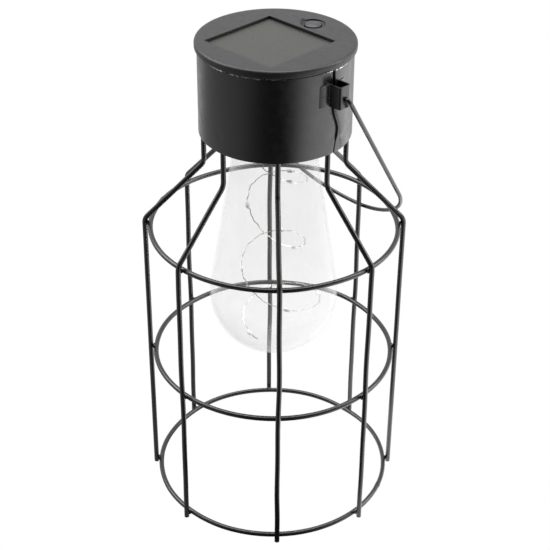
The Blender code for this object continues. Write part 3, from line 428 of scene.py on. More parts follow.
def stripes(nodes, across, pitch, inner, outer):
    """1 on thin lines, one in the middle of each pitch."""
    share = nodes.math("FRACT", nodes.math("DIVIDE", across, pitch))
    return nodes.ramp(nodes.math("ABSOLUTE", nodes.math("SUBTRACT", share, 0.5)), inner, outer, 1.0, 0.0)


def solar_cell_face(name):
    """Dark silicon with fine collector fingers along Y and bus bars along X."""
    material, nodes, shader, place = new_material(name)
    split = nodes.add("ShaderNodeSeparateXYZ", {0: place})
    finger = stripes(nodes, split.outputs["X"], 0.0016, 0.04, 0.07)
    bus = stripes(nodes, split.outputs["Y"], 0.0105, 0.02, 0.03)
    lines = nodes.math("MAXIMUM", nodes.math("MULTIPLY", finger, 0.35), bus)
    crystal = nodes.noise(place, 260, 4, 0.7)
    silicon = nodes.mix_colour(crystal, (0.018, 0.022, 0.034), (0.034, 0.038, 0.052))
    inputs = {
        "Base Color": nodes.mix_colour(lines, silicon, (0.42, 0.42, 0.40)),
        "Metallic": nodes.math("MULTIPLY", lines, 0.7),
        "Roughness": 0.3,
    }
    nodes.feed(shader, inputs)
    return material


def make_materials():
    plastics = {
        "cap": ("cap_plastic", (0.010, 0.010, 0.011), (0.016, 0.016, 0.0175), 0.38, 0.48),
        "button": ("button_rubber", (0.020, 0.020, 0.023), (0.032, 0.032, 0.036), 0.38, 0.5),
        # The resin drops are clear; their opaque white colour is a painted glint.
        "bead": ("bead_resin_painted_glint", (0.85, 0.85, 0.82), (0.95, 0.95, 0.93), 0.08, 0.16),
        "chip": ("chip_phosphor", (0.85, 0.70, 0.25), (0.95, 0.82, 0.35), 0.4, 0.5),
        "board": ("board_laminate", (0.012, 0.10, 0.04), (0.02, 0.14, 0.06), 0.3, 0.45),
        "component": ("component_plastic", (0.018, 0.018, 0.02), (0.03, 0.03, 0.032), 0.3, 0.45),
        "battery": ("battery_sleeve", (0.07, 0.27, 0.13), (0.11, 0.34, 0.18), 0.25, 0.35),
        "seal": ("seal_rubber", (0.022, 0.022, 0.022), (0.04, 0.04, 0.04), 0.7, 0.85),
        "lead_red": ("lead_red", (0.38, 0.015, 0.015), (0.50, 0.03, 0.03), 0.4, 0.5),
        "lead_black": ("lead_black", (0.015, 0.015, 0.015), (0.03, 0.03, 0.03), 0.4, 0.5),
    }
    made = {key: moulded_plastic(*settings) for key, settings in plastics.items()}
    made["paint"] = black_paint("wire_paint")
    made["collar_paint"] = black_paint("collar_paint", COLLAR_HIGH.z)
    made["window"] = window_film("window_film")
    made["cell"] = solar_cell_face("solar_cell_face")
    made["bulb"] = clear_shell("bulb_shell")
    made["string"] = plated_metal("string_wire", (0.74, 0.72, 0.68))
    made["nickel"] = plated_metal("nickel_plate", (0.66, 0.63, 0.58))
    made["switch"] = plated_metal("switch_can", (0.60, 0.60, 0.61))
    return made


# ---- mesh helpers
def smoothstep(value, low, high):
    share = min(1.0, max(0.0, (value - low) / (high - low)))
    return share * share * (3 - 2 * share)


def around(radius, angle, height=0.0):
    return Vector((radius * math.cos(angle), radius * math.sin(angle), height))


def rounded_path(corners, radius, steps):
    """Straight stretches through the corners, with each inner corner replaced by an arc."""
    path = [corners[0]]
    for before, corner, after in zip(corners, corners[1:], corners[2:]):
        back = (before - corner).normalized()
        ahead = (after - corner).normalized()
        half = back.angle(ahead) / 2
        middle = corner + (back + ahead).normalized() * (radius / math.sin(half))
        start = corner + back * (radius / math.tan(half))
        end = corner + ahead * (radius / math.tan(half))
        axis = (start - middle).cross(end - middle)
        sweep = (start - middle).angle(end - middle)
        for step in range(steps + 1):
            path.append(middle + Matrix.Rotation(sweep * step / steps, 3, axis) @ (start - middle))
    path.append(corners[-1])
    return path


def spaced(path, spacing):
    """The path with points added, so that none are further apart than spacing."""
    made = [path[0]]
    for first, second in zip(path, path[1:]):
        pieces = max(1, math.ceil((second - first).length / spacing))
        made += [first.lerp(second, step / pieces) for step in range(1, pieces + 1)]
    return made


def tube(bm, path, radii, sides, closed=False):
    """A round skin along the path, with a radius for each point. Its section doesn't twist."""
    count = len(path)
    tangents = []
    for index, point in enumerate(path):
        before = path[index - 1] if closed or index else point
        after = path[(index + 1) % count] if closed or index < count - 1 else point
        tangents.append((after - before).normalized())
    normal = tangents[0].orthogonal().normalized()
    if closed:
        normal = Vector((0, 0, 1))
    rings = []
    for index, (point, tangent, radius) in enumerate(zip(path, tangents, radii)):
        if index and not closed:
            normal = tangents[index - 1].rotation_difference(tangent) @ normal
        normal = (normal - tangent * normal.dot(tangent)).normalized()
        across = tangent.cross(normal)
        ring = []
        for side in range(sides):
            angle = math.tau * side / sides
            ring.append(bm.verts.new(point + (normal * math.cos(angle) + across * math.sin(angle)) * radius))
        rings.append(ring)
    pairs = list(zip(rings, rings[1:]))
    if closed:
        pairs.append((rings[-1], rings[0]))
    for low, high in pairs:
        for side in range(sides):
            after = (side + 1) % sides
            bm.faces.new((low[side], low[after], high[after], high[side]))
    if not closed:
        bm.faces.new(rings[0][::-1])
        bm.faces.new(rings[-1])
    return bm


def wire(bm, path, radius, sides, chamfer=0.0003):
    """A cut wire: a tube whose two ends are slightly rounded off."""
    ahead = (path[1] - path[0]).normalized()
    back = (path[-2] - path[-1]).normalized()
    line = [path[0], path[0] + ahead * chamfer, *path[1:-1], path[-1] + back * chamfer, path[-1]]
    radii = [radius - chamfer] + [radius] * (len(line) - 2) + [radius - chamfer]
    return tube(bm, line, radii, sides)


def lathe(bm, outline, segments, centre=(0, 0)):
    """Turns (r, z) points about a vertical axis. A point on the axis becomes one vertex."""
    rings = []
    for radius, height in outline:
        if radius < 1e-7:
            rings.append([bm.verts.new((*centre, height))])
            continue
        points = [around(radius, math.tau * step / segments, height) for step in range(segments)]
        rings.append([bm.verts.new(point + Vector((*centre, 0))) for point in points])
    for first, second in zip(rings, rings[1:]):
        for step in range(segments):
            after = (step + 1) % segments
            corners = [first[step % len(first)], first[after % len(first)]]
            corners += [second[after % len(second)], second[step % len(second)]]
            unique = list(dict.fromkeys(corners))
            if len(unique) > 2:
                bm.faces.new(unique)
    return bm


def arc(centre, radius, start, end, steps):
    """Points of an arc in (r, z), from the start angle to the end angle, both in degrees."""
    points = []
    for step in range(steps + 1):
        angle = math.radians(start + (end - start) * step / steps)
        points.append((centre[0] + radius * math.cos(angle), centre[1] + radius * math.sin(angle)))
    return points


def slab(bm, low, high, corner, steps=4):
    """An upright slab from low to high whose plan has rounded corners."""
    middle = (Vector(low) + Vector(high)) / 2
    half = (Vector(high) - Vector(low)) / 2
    outline = []
    for quarter, signs in enumerate(((1, 1), (-1, 1), (-1, -1), (1, -1))):
        centre = (middle.x + signs[0] * (half.x - corner), middle.y + signs[1] * (half.y - corner))
        outline += arc(centre, corner, 90 * quarter, 90 * quarter + 90, steps)
    return raised(bm, outline, low[2], high[2])


def raised(bm, outline, low, high):
    """An upright solid on this plan, from one height to the other."""
    face = bm.faces.new([bm.verts.new((x, y, low)) for x, y in outline])
    made = bmesh.ops.extrude_face_region(bm, geom=[face])["geom"]
    moved = [item for item in made if isinstance(item, bmesh.types.BMVert)]
    bmesh.ops.translate(bm, vec=(0, 0, high - low), verts=moved)
    return bm


def nugget(bm, place, axes, seed):
    """A blob of weld metal: a ball stretched along three axes, uneven like cooled metal."""
    rng = random.Random(seed)
    verts = bmesh.ops.create_uvsphere(bm, u_segments=14, v_segments=9, radius=1)["verts"]
    phase = rng.uniform(0, math.tau)
    basis = Matrix(axes).transposed()
    for vert in verts:
        angle = math.atan2(vert.co.y, vert.co.x)
        swell = 1 + 0.10 * math.sin(2 * angle + phase) + 0.06 * math.sin(5 * vert.co.z + phase)
        vert.co = Vector(place) + basis @ (vert.co * swell)
    return bm


def mesh_from(name, bm):
    bmesh.ops.recalc_face_normals(bm, faces=bm.faces)
    mesh = bpy.data.meshes.new(name)
    bm.to_mesh(mesh)
    bm.free()
    return mesh


def shade(mesh, sharp):
    mesh.shade_smooth()
    mesh.set_sharp_from_angle(angle=math.radians(sharp))


def piece(name, bm, material, body, replaced=(), sharp=35):
    """A finished piece of the object, shaded smooth except across edges sharper than sharp degrees."""
    mesh = mesh_from(name, bm)
    mesh.materials.append(material)
    shade(mesh, sharp)
    obj = new_object(name, mesh)
    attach(obj, body)
    if replaced:
        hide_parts(*replaced)
    return obj


def carve(obj, bm, operation="DIFFERENCE"):
    """Joins or cuts with a helper solid and keeps only the result."""
    helper = new_object("helper", mesh_from("helper", bm))
    modifier = obj.modifiers.new("carve", "BOOLEAN")
    modifier.operation = operation
    modifier.solver = "EXACT"
    modifier.object = helper
    settle(obj)
    bpy.data.objects.remove(helper)


def settle(obj):
    """Replaces the mesh by what its modifiers make of it."""
    bpy.context.view_layer.update()
    graph = bpy.context.evaluated_depsgraph_get()
    made = bpy.data.meshes.new_from_object(obj.evaluated_get(graph))
    obj.modifiers.clear()
    obj.data = made


def soften(obj, width, segments=2, angle=35):
    """Rounds off every edge sharper than angle degrees, and evens the shading of the flats beside it."""
    bevel = obj.modifiers.new("soft_edges", "BEVEL")
    bevel.width = width
    bevel.segments = segments
    bevel.limit_method = "ANGLE"
    bevel.angle_limit = math.radians(angle)
    bevel.harden_normals = True
    bevel.miter_outer = "MITER_ARC"


# ---- cage
def wire_angle(index):
    return math.tau * index / WIRE_COUNT + WIRE_DRIFT.get(index, 0)


def make_cage_wires(materials):
    for index in range(WIRE_COUNT):
        angle = wire_angle(index)
        corners = [
            around(CAGE_RADIUS, angle, 0),
            around(CAGE_RADIUS, angle, SHOULDER_BEND_HEIGHT),
            around(STUB_RADIUS, angle, COLLAR_BEND_HEIGHT),
            around(STUB_RADIUS, angle, STUB_TOP),
        ]
        path = spaced(rounded_path(corners, WIRE_BEND_RADIUS, 12), 0.004)
        rng = random.Random(index)
        lean, turn = rng.uniform(0, math.tau), rng.uniform(0, math.tau)
        wavy = []
        for point in path:
            free = smoothstep(point.z, 0.004, 0.03) * (1 - smoothstep(point.z, 0.15, 0.18))
            drift = 0.00022 * math.sin(point.z * 55 + lean) + 0.00012 * math.sin(point.z * 131 + turn)
            wavy.append(point + around(drift * free, angle + math.pi / 2))
        bm = wire(bmesh.new(), wavy, WIRE_RADIUS, 20)
        name = f"cage_wire_{index + 1}"
        piece("fine_" + name, bm, materials["paint"], "cage", [name])


def make_cage_rings(materials):
    """Rings lie inside the wires, with a weld nugget at each crossing and one butt weld of their own."""
    for seed, name in enumerate(("base_ring", "middle_ring", "shoulder_ring")):
        low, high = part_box(name)
        height = (low.z + high.z) / 2
        radius = (high.x - low.x) / 2 - WIRE_RADIUS
        segments = 160
        butt = math.radians(22.5 + 90 * seed)
        path = []
        radii = []
        for step in range(segments):
            angle = math.tau * step / segments
            wave = 0.00018 * math.sin(3 * angle + seed) + 0.00010 * math.sin(7 * angle + 2 * seed)
            path.append(around(radius + min(0, wave), angle, height + wave))
            away = abs((angle - butt + math.pi) % math.tau - math.pi) * radius
            radii.append(WIRE_RADIUS * (1 + BUTT_WELD_SWELL * math.exp(-((away / BUTT_WELD_LENGTH) ** 2))))
        bm = tube(bmesh.new(), path, radii, 16, closed=True)
        for index in range(WIRE_COUNT):
            angle = wire_angle(index)
            outward = around(1, angle)
            place = outward * (radius + WIRE_RADIUS) + Vector((0, 0, height))
            along = around(1, angle + math.pi / 2)
            axes = (outward * CROSS_WELD[0], along * CROSS_WELD[1], Vector((0, 0, CROSS_WELD[2])))
            nugget(bm, place, axes, 10 * seed + index)
        piece("fine_" + name, bm, materials["paint"], "cage", [name])


def seam_bow(height):
    """How far round from its mean angle the collar's seam stands at this height, in radians."""
    above = smoothstep(height, SEAM_PEAK, SEAM_PEAK + 0.0110)
    below = 1 - smoothstep(height, COLLAR_LOW.z - 0.0010, SEAM_PEAK)
    return math.radians(1.5 - 5.0 * above - 3.0 * below)


def collar_shift(away, height, angle):
    """Radial shift of the rolled sheet at a distance away from the seam, measured along the sheet."""
    open_gap = smoothstep(height, SEAM_PEAK - 0.0060, SEAM_PEAK - 0.0030)
    lip = 0.00016 + 0.00034 * open_gap
    step = lip * smoothstep(away, -0.00008, 0.00012) * (1 - smoothstep(away, 0.0007, 0.0120))
    groove = -0.00065 * (0.35 + 0.65 * open_gap) * math.exp(-(((away + 0.0003) / 0.00032) ** 2))
    wave = 0.00010 * math.sin(4 * angle + 30 * height) + 0.00005 * math.sin(9 * angle - 60 * height)
    dents = 0.0
    for index in range(WIRE_COUNT):
        centre = wire_angle(index)
        across = ((angle - centre + math.pi) % math.tau - math.pi) * COLLAR_RADIUS
        distance = math.hypot(across, height - COLLAR_LOW.z - WELD_HEIGHT) / WELD_DENT_RADIUS
        if distance < 3:
            dents -= WELD_DENT_DEPTH * math.exp(-(distance**2))
    return step + groove + wave + dents


def make_collar(materials):
    """A sheet rolled into a sleeve: a lapped seam, spot-weld dents over each wire and rounded rims."""
    edge = COLLAR_EDGE_ROUND
    rows = 56
    tall = COLLAR_HIGH.z - COLLAR_LOW.z - 2 * edge
    outer = [(0.0, COLLAR_LOW.z + edge + tall * row / rows) for row in range(rows + 1)]
    profile = list(outer)
    profile += arc((-edge, COLLAR_HIGH.z - edge), edge, 30, 90, 2)
    profile += arc((edge - COLLAR_WALL, COLLAR_HIGH.z - edge), edge, 90, 180, 3)
    profile += [(-COLLAR_WALL, height) for _, height in outer[-4::-6]]
    profile += arc((edge - COLLAR_WALL, COLLAR_LOW.z + edge), edge, 180, 270, 3)
    profile += arc((-edge, COLLAR_LOW.z + edge), edge, -90, -30, 2)
    offsets = [math.radians(0.12) * step for step in range(-10, 16)]
    offsets += [math.radians(1.8 + (358.8 - 1.8) * step / 300) for step in range(1, 300)]
    bm = bmesh.new()
    columns = []
    for offset in offsets:
        signed = (offset + math.pi) % math.tau - math.pi
        column = []
        for shift, height in profile:
            follow = 1 - smoothstep(abs(signed), 0.1, 0.9)
            angle = SEAM_ANGLE + signed + seam_bow(height) * follow
            bulge = collar_shift(signed * COLLAR_RADIUS, height, angle)
            if shift < -COLLAR_WALL / 2:
                bulge = max(bulge, -INNER_WALL_BULGE)
            radius = COLLAR_RADIUS + shift + bulge
            column.append(bm.verts.new(around(radius, angle, height)))
        columns.append(column)
    for left, right in zip(columns, columns[1:] + columns[:1]):
        for row in range(len(profile)):
            after = (row + 1) % len(profile)
            bm.faces.new((left[row], right[row], right[after], left[after]))
    piece("fine_collar", bm, materials["collar_paint"], "cage", ["collar"], sharp=50)


def lug_centre_line():
    """Plan view of a lug's sheet, from one foot over the raised middle to the other foot, facing +X."""
    foot = COLLAR_RADIUS - 0.0001 + LUG_SHEET / 2
    side = LUG_WIDTH / 2 - LUG_SHEET / 2
    root = side + LUG_BEND_RADIUS
    foot_start = math.asin(root / foot)
    foot_sweep = LUG_FOOT_LENGTH / foot
    steps = 8
    half = []
    for step in range(steps + 1):
        share = 1 - step / steps
        half.append(around(foot - LUG_SHEET * share**2, foot_start + foot_sweep * share))
    middle = Vector((half[-1].x + LUG_BEND_RADIUS, root, 0))
    for step in range(1, steps + 1):
        half.append(middle + around(LUG_BEND_RADIUS, math.pi + math.pi / 2 * step / steps))
    face = LUG_FACE - LUG_SHEET / 2
    middle = Vector((face - LUG_BEND_RADIUS, side - LUG_BEND_RADIUS, 0))
    for step in range(steps + 1):
        half.append(middle + around(LUG_BEND_RADIUS, math.pi / 2 * (1 - step / steps)))
    return half + [Vector((point.x, -point.y, 0)) for point in reversed(half)]


def make_lugs(materials):
    """Pressed hat-shaped straps with a punched hole for the handle and a weld dimple on each foot."""
    line = lug_centre_line()
    left = []
    right = []
    for index, point in enumerate(line):
        along = (line[min(index + 1, len(line) - 1)] - line[max(index - 1, 0)]).normalized()
        across = Vector((-along.y, along.x, 0)) * LUG_SHEET / 2
        left.append(point + across)
        right.append(point - across)
    outline = left + right[::-1]
    for name, turn in (("lug_right", 0), ("lug_left", math.pi)):
        bm = raised(bmesh.new(), [point.xy for point in outline], LUG_LOW.z, LUG_HIGH.z)
        bmesh.ops.rotate(bm, verts=bm.verts, matrix=Matrix.Rotation(turn, 3, "Z"))
        lug = piece("fine_" + name, bm, materials["paint"], "cage", [name])
        hole = bmesh.new()
        middle = around(LUG_FACE - LUG_SHEET / 2, turn, PIVOT.z)
        radius = HANDLE_RADIUS + PIVOT_CLEARANCE
        bmesh.ops.create_cone(
            hole,
            cap_ends=True,
            segments=32,
            radius1=radius,
            radius2=radius,
            depth=4 * LUG_SHEET,
            matrix=Matrix.Translation(middle) @ Matrix.Rotation(math.pi / 2, 4, "Y"),
        )
        carve(lug, hole)
        foot_angle = math.asin((LUG_WIDTH / 2 + LUG_BEND_RADIUS) / COLLAR_RADIUS)
        foot_angle += LUG_FOOT_LENGTH / COLLAR_RADIUS / 2
        for side in (-1, 1):
            dimple = bmesh.new()
            angle = turn + side * foot_angle
            place = around(COLLAR_RADIUS + LUG_SHEET + 0.0006, angle, (LUG_LOW.z + LUG_HIGH.z) / 2)
            bmesh.ops.create_uvsphere(dimple, u_segments=20, v_segments=12, radius=0.0011)
            bmesh.ops.translate(dimple, vec=place, verts=dimple.verts)
            carve(lug, dimple)
        soften(lug, 0.00018, 3, 40)


# ---- handle
def handle_outline():
    """The handle in its own plane, from the right lug to the left: x across, y away from the pivot axis."""
    hook = HANDLE_HOOK_RADIUS
    half_width = HANDLE_HIGH.x - HANDLE_RADIUS
    arch_start = Vector((HANDLE_ARCH_HALF_WIDTH, HANDLE_SIDE_LENGTH))
    taper = math.atan2(half_width - arch_start.x, arch_start.y - hook)
    rise = HANDLE_LENGTH - HANDLE_SIDE_LENGTH
    side = [Vector((half_width - hook - HANDLE_HOOK_LENGTH, 0))]
    steps = 12
    for step in range(steps + 1):
        angle = -math.pi / 2 + (math.pi / 2 + taper) * step / steps
        side.append(Vector((half_width - hook, hook)) + hook * Vector((math.cos(angle), math.sin(angle))))
    for share in (0.25, 0.5, 0.75):
        side.append(side[steps + 1].lerp(arch_start, share))
    steps = 40
    halves = []
    for arch_power in HANDLE_ARCH_POWERS:
        power = 2 / arch_power
        angles = [math.pi / 2 * step / steps for step in range(steps)]
        arch = [
            (arch_start.x * math.cos(angle) ** power, arch_start.y + rise * math.sin(angle) ** power)
            for angle in angles
        ]
        halves.append(side + [Vector(point) for point in arch])
    right, left = halves
    whole = right + [Vector((0, HANDLE_LENGTH))] + [Vector((-p.x, p.y)) for p in reversed(left)]
    return [Vector((p.x + HANDLE_SKEW * max(0, p.y - hook) / HANDLE_LENGTH, p.y)) for p in whole]


def make_handle(materials):
    reach = HANDLE_HIGH.y - HANDLE_RADIUS - PIVOT.y
    drop = PIVOT.z - (HANDLE_LOW.z + HANDLE_RADIUS)
    lean = math.atan2(drop, reach)
    path = [Vector((p.x, p.y * math.cos(lean), PIVOT.z - p.y * math.sin(lean))) for p in handle_outline()]
    bm = wire(bmesh.new(), path, HANDLE_RADIUS, 20, 0.0002)
    piece("fine_handle", bm, materials["paint"], "handle", ["handle"])


# ---- top cap, window and button
def screw_places():
    angles = [math.radians(-90) + math.tau * index / SCREW_COUNT for index in range(SCREW_COUNT)]
    return [around(SCREW_CIRCLE, angle) for angle in angles]


def make_top_cap(materials):
    """A shallow moulded lid with a rounded top edge, a skirt, a window recess and a button well."""
    top = CAP_HIGH.z - MARK_HEIGHT
    base = top - CAP_EDGE_THICKNESS
    window_floor = CELL_LOW.z - GAP
    ceiling = window_floor - CAP_FLOOR
    skirt_inside = SKIRT_RADIUS - CAP_WALL
    outline = [(0, top), (0.6 * CAP_RADIUS, top), (0.9 * CAP_RADIUS, top)]
    outline += arc((CAP_RADIUS - CAP_TOP_ROUND, top - CAP_TOP_ROUND), CAP_TOP_ROUND, 90, 0, 8)
    outline += arc((CAP_RADIUS - CAP_BOTTOM_ROUND, base + CAP_BOTTOM_ROUND), CAP_BOTTOM_ROUND, 0, -90, 5)
    outline += [(SKIRT_RADIUS + CAP_CHAMFER, base), (SKIRT_RADIUS, base - CAP_CHAMFER)]
    outline += [(SKIRT_RADIUS, CAP_LOW.z + CAP_CHAMFER), (SKIRT_RADIUS - CAP_CHAMFER, CAP_LOW.z)]
    outline += [(skirt_inside, CAP_LOW.z), (skirt_inside, ceiling), (0, ceiling)]
    bm = lathe(bmesh.new(), outline, 180)
    cap = piece("fine_top_cap", bm, materials["cap"], "solar_unit", ["top_cap"], sharp=30)

    middle = (COVER_LOW + COVER_HIGH) / 2
    half = (COVER_HIGH.x - COVER_LOW.x) / 2 + WINDOW_CLEARANCE
    low = (middle.x - half, middle.y - half, window_floor)
    recess = slab(bmesh.new(), low, (middle.x + half, middle.y + half, top + 2 * CUT_PAST), RECESS_CORNER)
    carve(cap, recess)

    ring = BUTTON_BORE + BUTTON_RING_WIDTH
    ledge = top - BUTTON_RING_DEPTH
    below = ceiling - CAP_FLOOR
    bore = [(0, top + 2 * CUT_PAST), (ring + 0.0001, top + 2 * CUT_PAST), (ring, top)]
    bore += arc((ring - RING_ROUND, ledge + RING_ROUND), RING_ROUND, 0, -90, 5)
    bore += [(BUTTON_BORE, ledge), (BUTTON_BORE, below), (0, below)]
    carve(cap, lathe(bmesh.new(), bore, 72, (0, BUTTON_OFFSET)))

    post_top = ceiling + CAP_FLOOR / 2
    post_low = PLATE_HIGH.z - 0.0027
    bore_top = PLATE_HIGH.z + 0.0045
    for place in screw_places():
        post = [(0, post_top), (SCREW_POST_RADIUS, post_top), (SCREW_POST_RADIUS, post_low)]
        post += [(SCREW_HOLE_RADIUS, post_low), (SCREW_HOLE_RADIUS, bore_top), (0, bore_top)]
        carve(cap, lathe(bmesh.new(), post, 24, place.xy), "UNION")

    mark = bmesh.new()
    path = []
    radii = []
    for step in range(25):
        share = step / 24
        angle = math.radians(95 + 170 * share)
        path.append(Vector((-MARK_DISTANCE + 0.0010, BUTTON_OFFSET, top)) + around(0.0012, angle))
        radii.append(MARK_RADIUS * (0.15 + 0.5 * math.sin(math.pi * share) ** 0.7))
    tube(mark, path, radii, 16)
    carve(cap, mark, "UNION")
    shade(cap.data, 30)


def make_window(materials):
    inset = 0.0001
    low = (COVER_LOW.x + inset, COVER_LOW.y + inset, COVER_LOW.z)
    high = (COVER_HIGH.x - inset, COVER_HIGH.y - inset, COVER_HIGH.z)
    bm = slab(bmesh.new(), low, high, 0.0005)
    cover = piece("fine_window_cover", bm, materials["window"], "solar_unit", ["window_cover"])
    soften(cover, 0.00025, 3)
    bm = slab(bmesh.new(), CELL_LOW, CELL_HIGH, 0.0003)
    cell = piece("fine_solar_cell", bm, materials["cell"], "solar_unit", ["solar_cell"])
    soften(cell, 0.00008)


def make_button(materials):
    """A soft dome with a rolled shoulder and a flange under the cap."""
    rim = BUTTON_HIGH.z - BUTTON_DOME
    ball = (BUTTON_RADIUS**2 + BUTTON_DOME**2) / (2 * BUTTON_DOME)
    reach = math.asin((BUTTON_RADIUS - BUTTON_ROUND) / ball)
    outline = [
        (ball * math.sin(reach * step / 14), BUTTON_HIGH.z - ball * (1 - math.cos(reach * step / 14)))
        for step in range(15)
    ]
    outline += arc((BUTTON_RADIUS - BUTTON_ROUND, rim - BUTTON_ROUND / 2), BUTTON_ROUND, 60, 0, 4)
    flange = (BUTTON_HIGH.x - BUTTON_LOW.x) / 2
    flange_top = BUTTON_LOW.z + BUTTON_FLANGE_THICKNESS
    outline += [(BUTTON_RADIUS, flange_top), (flange, flange_top), (flange, BUTTON_LOW.z), (0, BUTTON_LOW.z)]
    bm = lathe(bmesh.new(), outline, 72, (0, BUTTON_OFFSET))
    piece("fine_power_button", bm, materials["button"], "button", ["power_button"], sharp=50)


# ---- bottom cover, bulb and light string
def make_bottom_cover(materials):
    """The unit's moulded floor with its spigot, socket ring and ejector marks."""
    socket_bottom = PLATE_LOW.z
    plate_bottom = socket_bottom + SOCKET_DEPTH
    plate_top = plate_bottom + COVER_PLATE
    spigot_top = PLATE_HIGH.z
    spigot = SKIRT_RADIUS - CAP_WALL - SPIGOT_CLEARANCE
    socket = NECK_RADIUS + SOCKET_CLEARANCE
    outside = socket + SOCKET_WALL
    spigot_inside = spigot - SPIGOT_WALL
    outline = [(0, plate_top), (spigot_inside, plate_top), (spigot_inside, spigot_top), (spigot, spigot_top)]
    outline += [(spigot, plate_top), (SKIRT_RADIUS - CAP_CHAMFER, plate_top)]
    outline += [(SKIRT_RADIUS, plate_top - CAP_CHAMFER)]
    outline += arc((SKIRT_RADIUS - 0.0004, plate_bottom + 0.0004), 0.0004, 0, -90, 4)
    outline += arc((outside + 0.0008, plate_bottom - 0.0008), 0.0008, 90, 180, 5)
    outline += arc((outside - 0.0004, socket_bottom + 0.0004), 0.0004, 0, -90, 4)
    outline += arc((socket + 0.0003, socket_bottom + 0.0003), 0.0003, -90, -180, 3)
    outline += [(socket, plate_bottom), (0, plate_bottom)]
    bm = lathe(bmesh.new(), outline, 128)
    cover = piece("fine_bottom_cover", bm, materials["cap"], "solar_unit", ["bottom_cover"])
    holes = bmesh.new()
    high = plate_top + CUT_PAST
    low = plate_bottom - CUT_PAST
    pins = [(SCREW_HOLE_RADIUS, high, place.xy) for place in screw_places()]
    pins.append((STRING_HOLE_RADIUS, high, (0, STRING_ENTRY)))
    for index in range(EJECTOR_COUNT):
        place = around(EJECTOR_CIRCLE, math.tau * (index + 0.5) / EJECTOR_COUNT)
        pins.append((EJECTOR_RADIUS, plate_bottom + EJECTOR_DEPTH, place.xy))
    for radius, end, place in pins:
        lathe(holes, [(0, end), (radius, end), (radius, low), (0, low)], 24, place)
    carve(cover, holes)
    shade(cover.data, 30)


def make_cover_screws(materials):
    """Pan-head screws with a cross recess, driven upwards."""
    for index, place in enumerate(screw_places()):
        name = f"cover_screw_{index + 1}"
        low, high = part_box(name)
        head_top = low.z + SCREW_HEAD_HEIGHT
        outline = [(0, low.z)] + arc((SCREW_HEAD - 0.0009, low.z + 0.0009), 0.0009, -90, 0, 6)
        outline += [(SCREW_HEAD, head_top), (0.0011, head_top), (0.0011, high.z - 0.0012), (0, high.z)]
        bm = lathe(bmesh.new(), outline, 40, place.xy)
        screw = piece("fine_" + name, bm, materials["nickel"], "solar_unit", [name])
        turn = Matrix.Rotation(0.5 + 1.1 * index, 4, "Z")
        for across in (0, math.pi / 2):
            slot = bmesh.new()
            bmesh.ops.create_cube(slot, size=1)
            bmesh.ops.scale(slot, vec=SCREW_SLOT, verts=slot.verts)
            matrix = Matrix.Translation((place.x, place.y, low.z)) @ turn @ Matrix.Rotation(across, 4, "Z")
            bmesh.ops.transform(slot, matrix=matrix, verts=slot.verts)
            carve(screw, slot)
        soften(screw, 0.00006)


def bulb_side(inset, steps):
    """One wall of the bulb from its lowest point to the top of the neck: round end, straight flare, neck."""
    ball = BULB_RADIUS - inset
    neck = NECK_RADIUS - inset
    rise = NECK_BOTTOM - BULB_CENTRE_HEIGHT
    away = math.hypot(neck, rise)
    flare = math.asin(ball / away) - math.atan2(neck, rise)
    sweep = math.pi / 2 + flare
    side = [
        (ball * math.sin(sweep * step / steps), BULB_CENTRE_HEIGHT - ball * math.cos(sweep * step / steps))
        for step in range(steps + 1)
    ]
    return side, neck


def make_bulb(materials):
    """A blown shell: round end, straight flare eased into the neck, open at the top."""
    walls = []
    for inset in (0, BULB_WALL):
        side, neck = bulb_side(inset, 64)
        flare_end = Vector(side[-1])
        neck_start = Vector((neck, NECK_BOTTOM))
        eased = [tuple(flare_end.lerp(neck_start, step / 24)) for step in range(1, 22)]
        shoulder = flare_end.lerp(neck_start, 21 / 24)
        for step in range(1, 7):
            share = step / 6
            corner = Vector((neck, NECK_BOTTOM + 0.0002))
            end = Vector((neck, NECK_BOTTOM + 0.0030))
            eased.append(tuple(shoulder.lerp(corner, share).lerp(corner.lerp(end, share), share)))
        walls.append(side + eased + [(neck, BULB_HIGH.z)])
    outside, inside = walls
    bm = lathe(bmesh.new(), outside + inside[::-1], 160)
    piece("fine_bulb", bm, materials["bulb"], "solar_unit", ["bulb"], sharp=60)


def bulb_inside_at(height):
    side, neck = bulb_side(BULB_WALL, 48)
    side.append((neck, NECK_BOTTOM))
    for (r0, z0), (r1, z1) in zip(side, side[1:]):
        if z0 <= height <= z1:
            return r0 + (r1 - r0) * (height - z0) / max(z1 - z0, 1e-9)
    return neck


def string_point(share):
    """A point of the light string: down through the bottom cover, then in a loose, uneven coil."""
    hole_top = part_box("circuit_board")[0].z - GAP
    coil_top = NECK_BOTTOM - STRING_TOP_CLEARANCE
    coil_bottom = BULB_CENTRE_HEIGHT - BULB_RADIUS + BULB_WALL + STRING_END_CLEARANCE
    if share < STRING_LEAD_SHARE:
        return Vector((0, STRING_ENTRY, hole_top + (NECK_BOTTOM - hole_top) * share / STRING_LEAD_SHARE))
    along = (share - STRING_LEAD_SHARE) / (1 - STRING_LEAD_SHARE)
    height = NECK_BOTTOM + (coil_bottom - NECK_BOTTOM) * along
    height += STRING_WAVE * math.sin(math.tau * STRING_TURNS * along) * math.sin(math.pi * along)
    ease = smoothstep(NECK_BOTTOM - height, 0, NECK_BOTTOM - coil_top)
    wander = 1 + 0.16 * math.sin(9 * along) + 0.10 * math.sin(23 * along + 1)
    inside = bulb_inside_at(max(height, coil_bottom)) * STRING_FILL
    radius = STRING_ENTRY + (inside * wander - STRING_ENTRY) * ease
    angle = math.pi / 2 + math.tau * STRING_TURNS * along * ease
    return around(radius, angle, height)


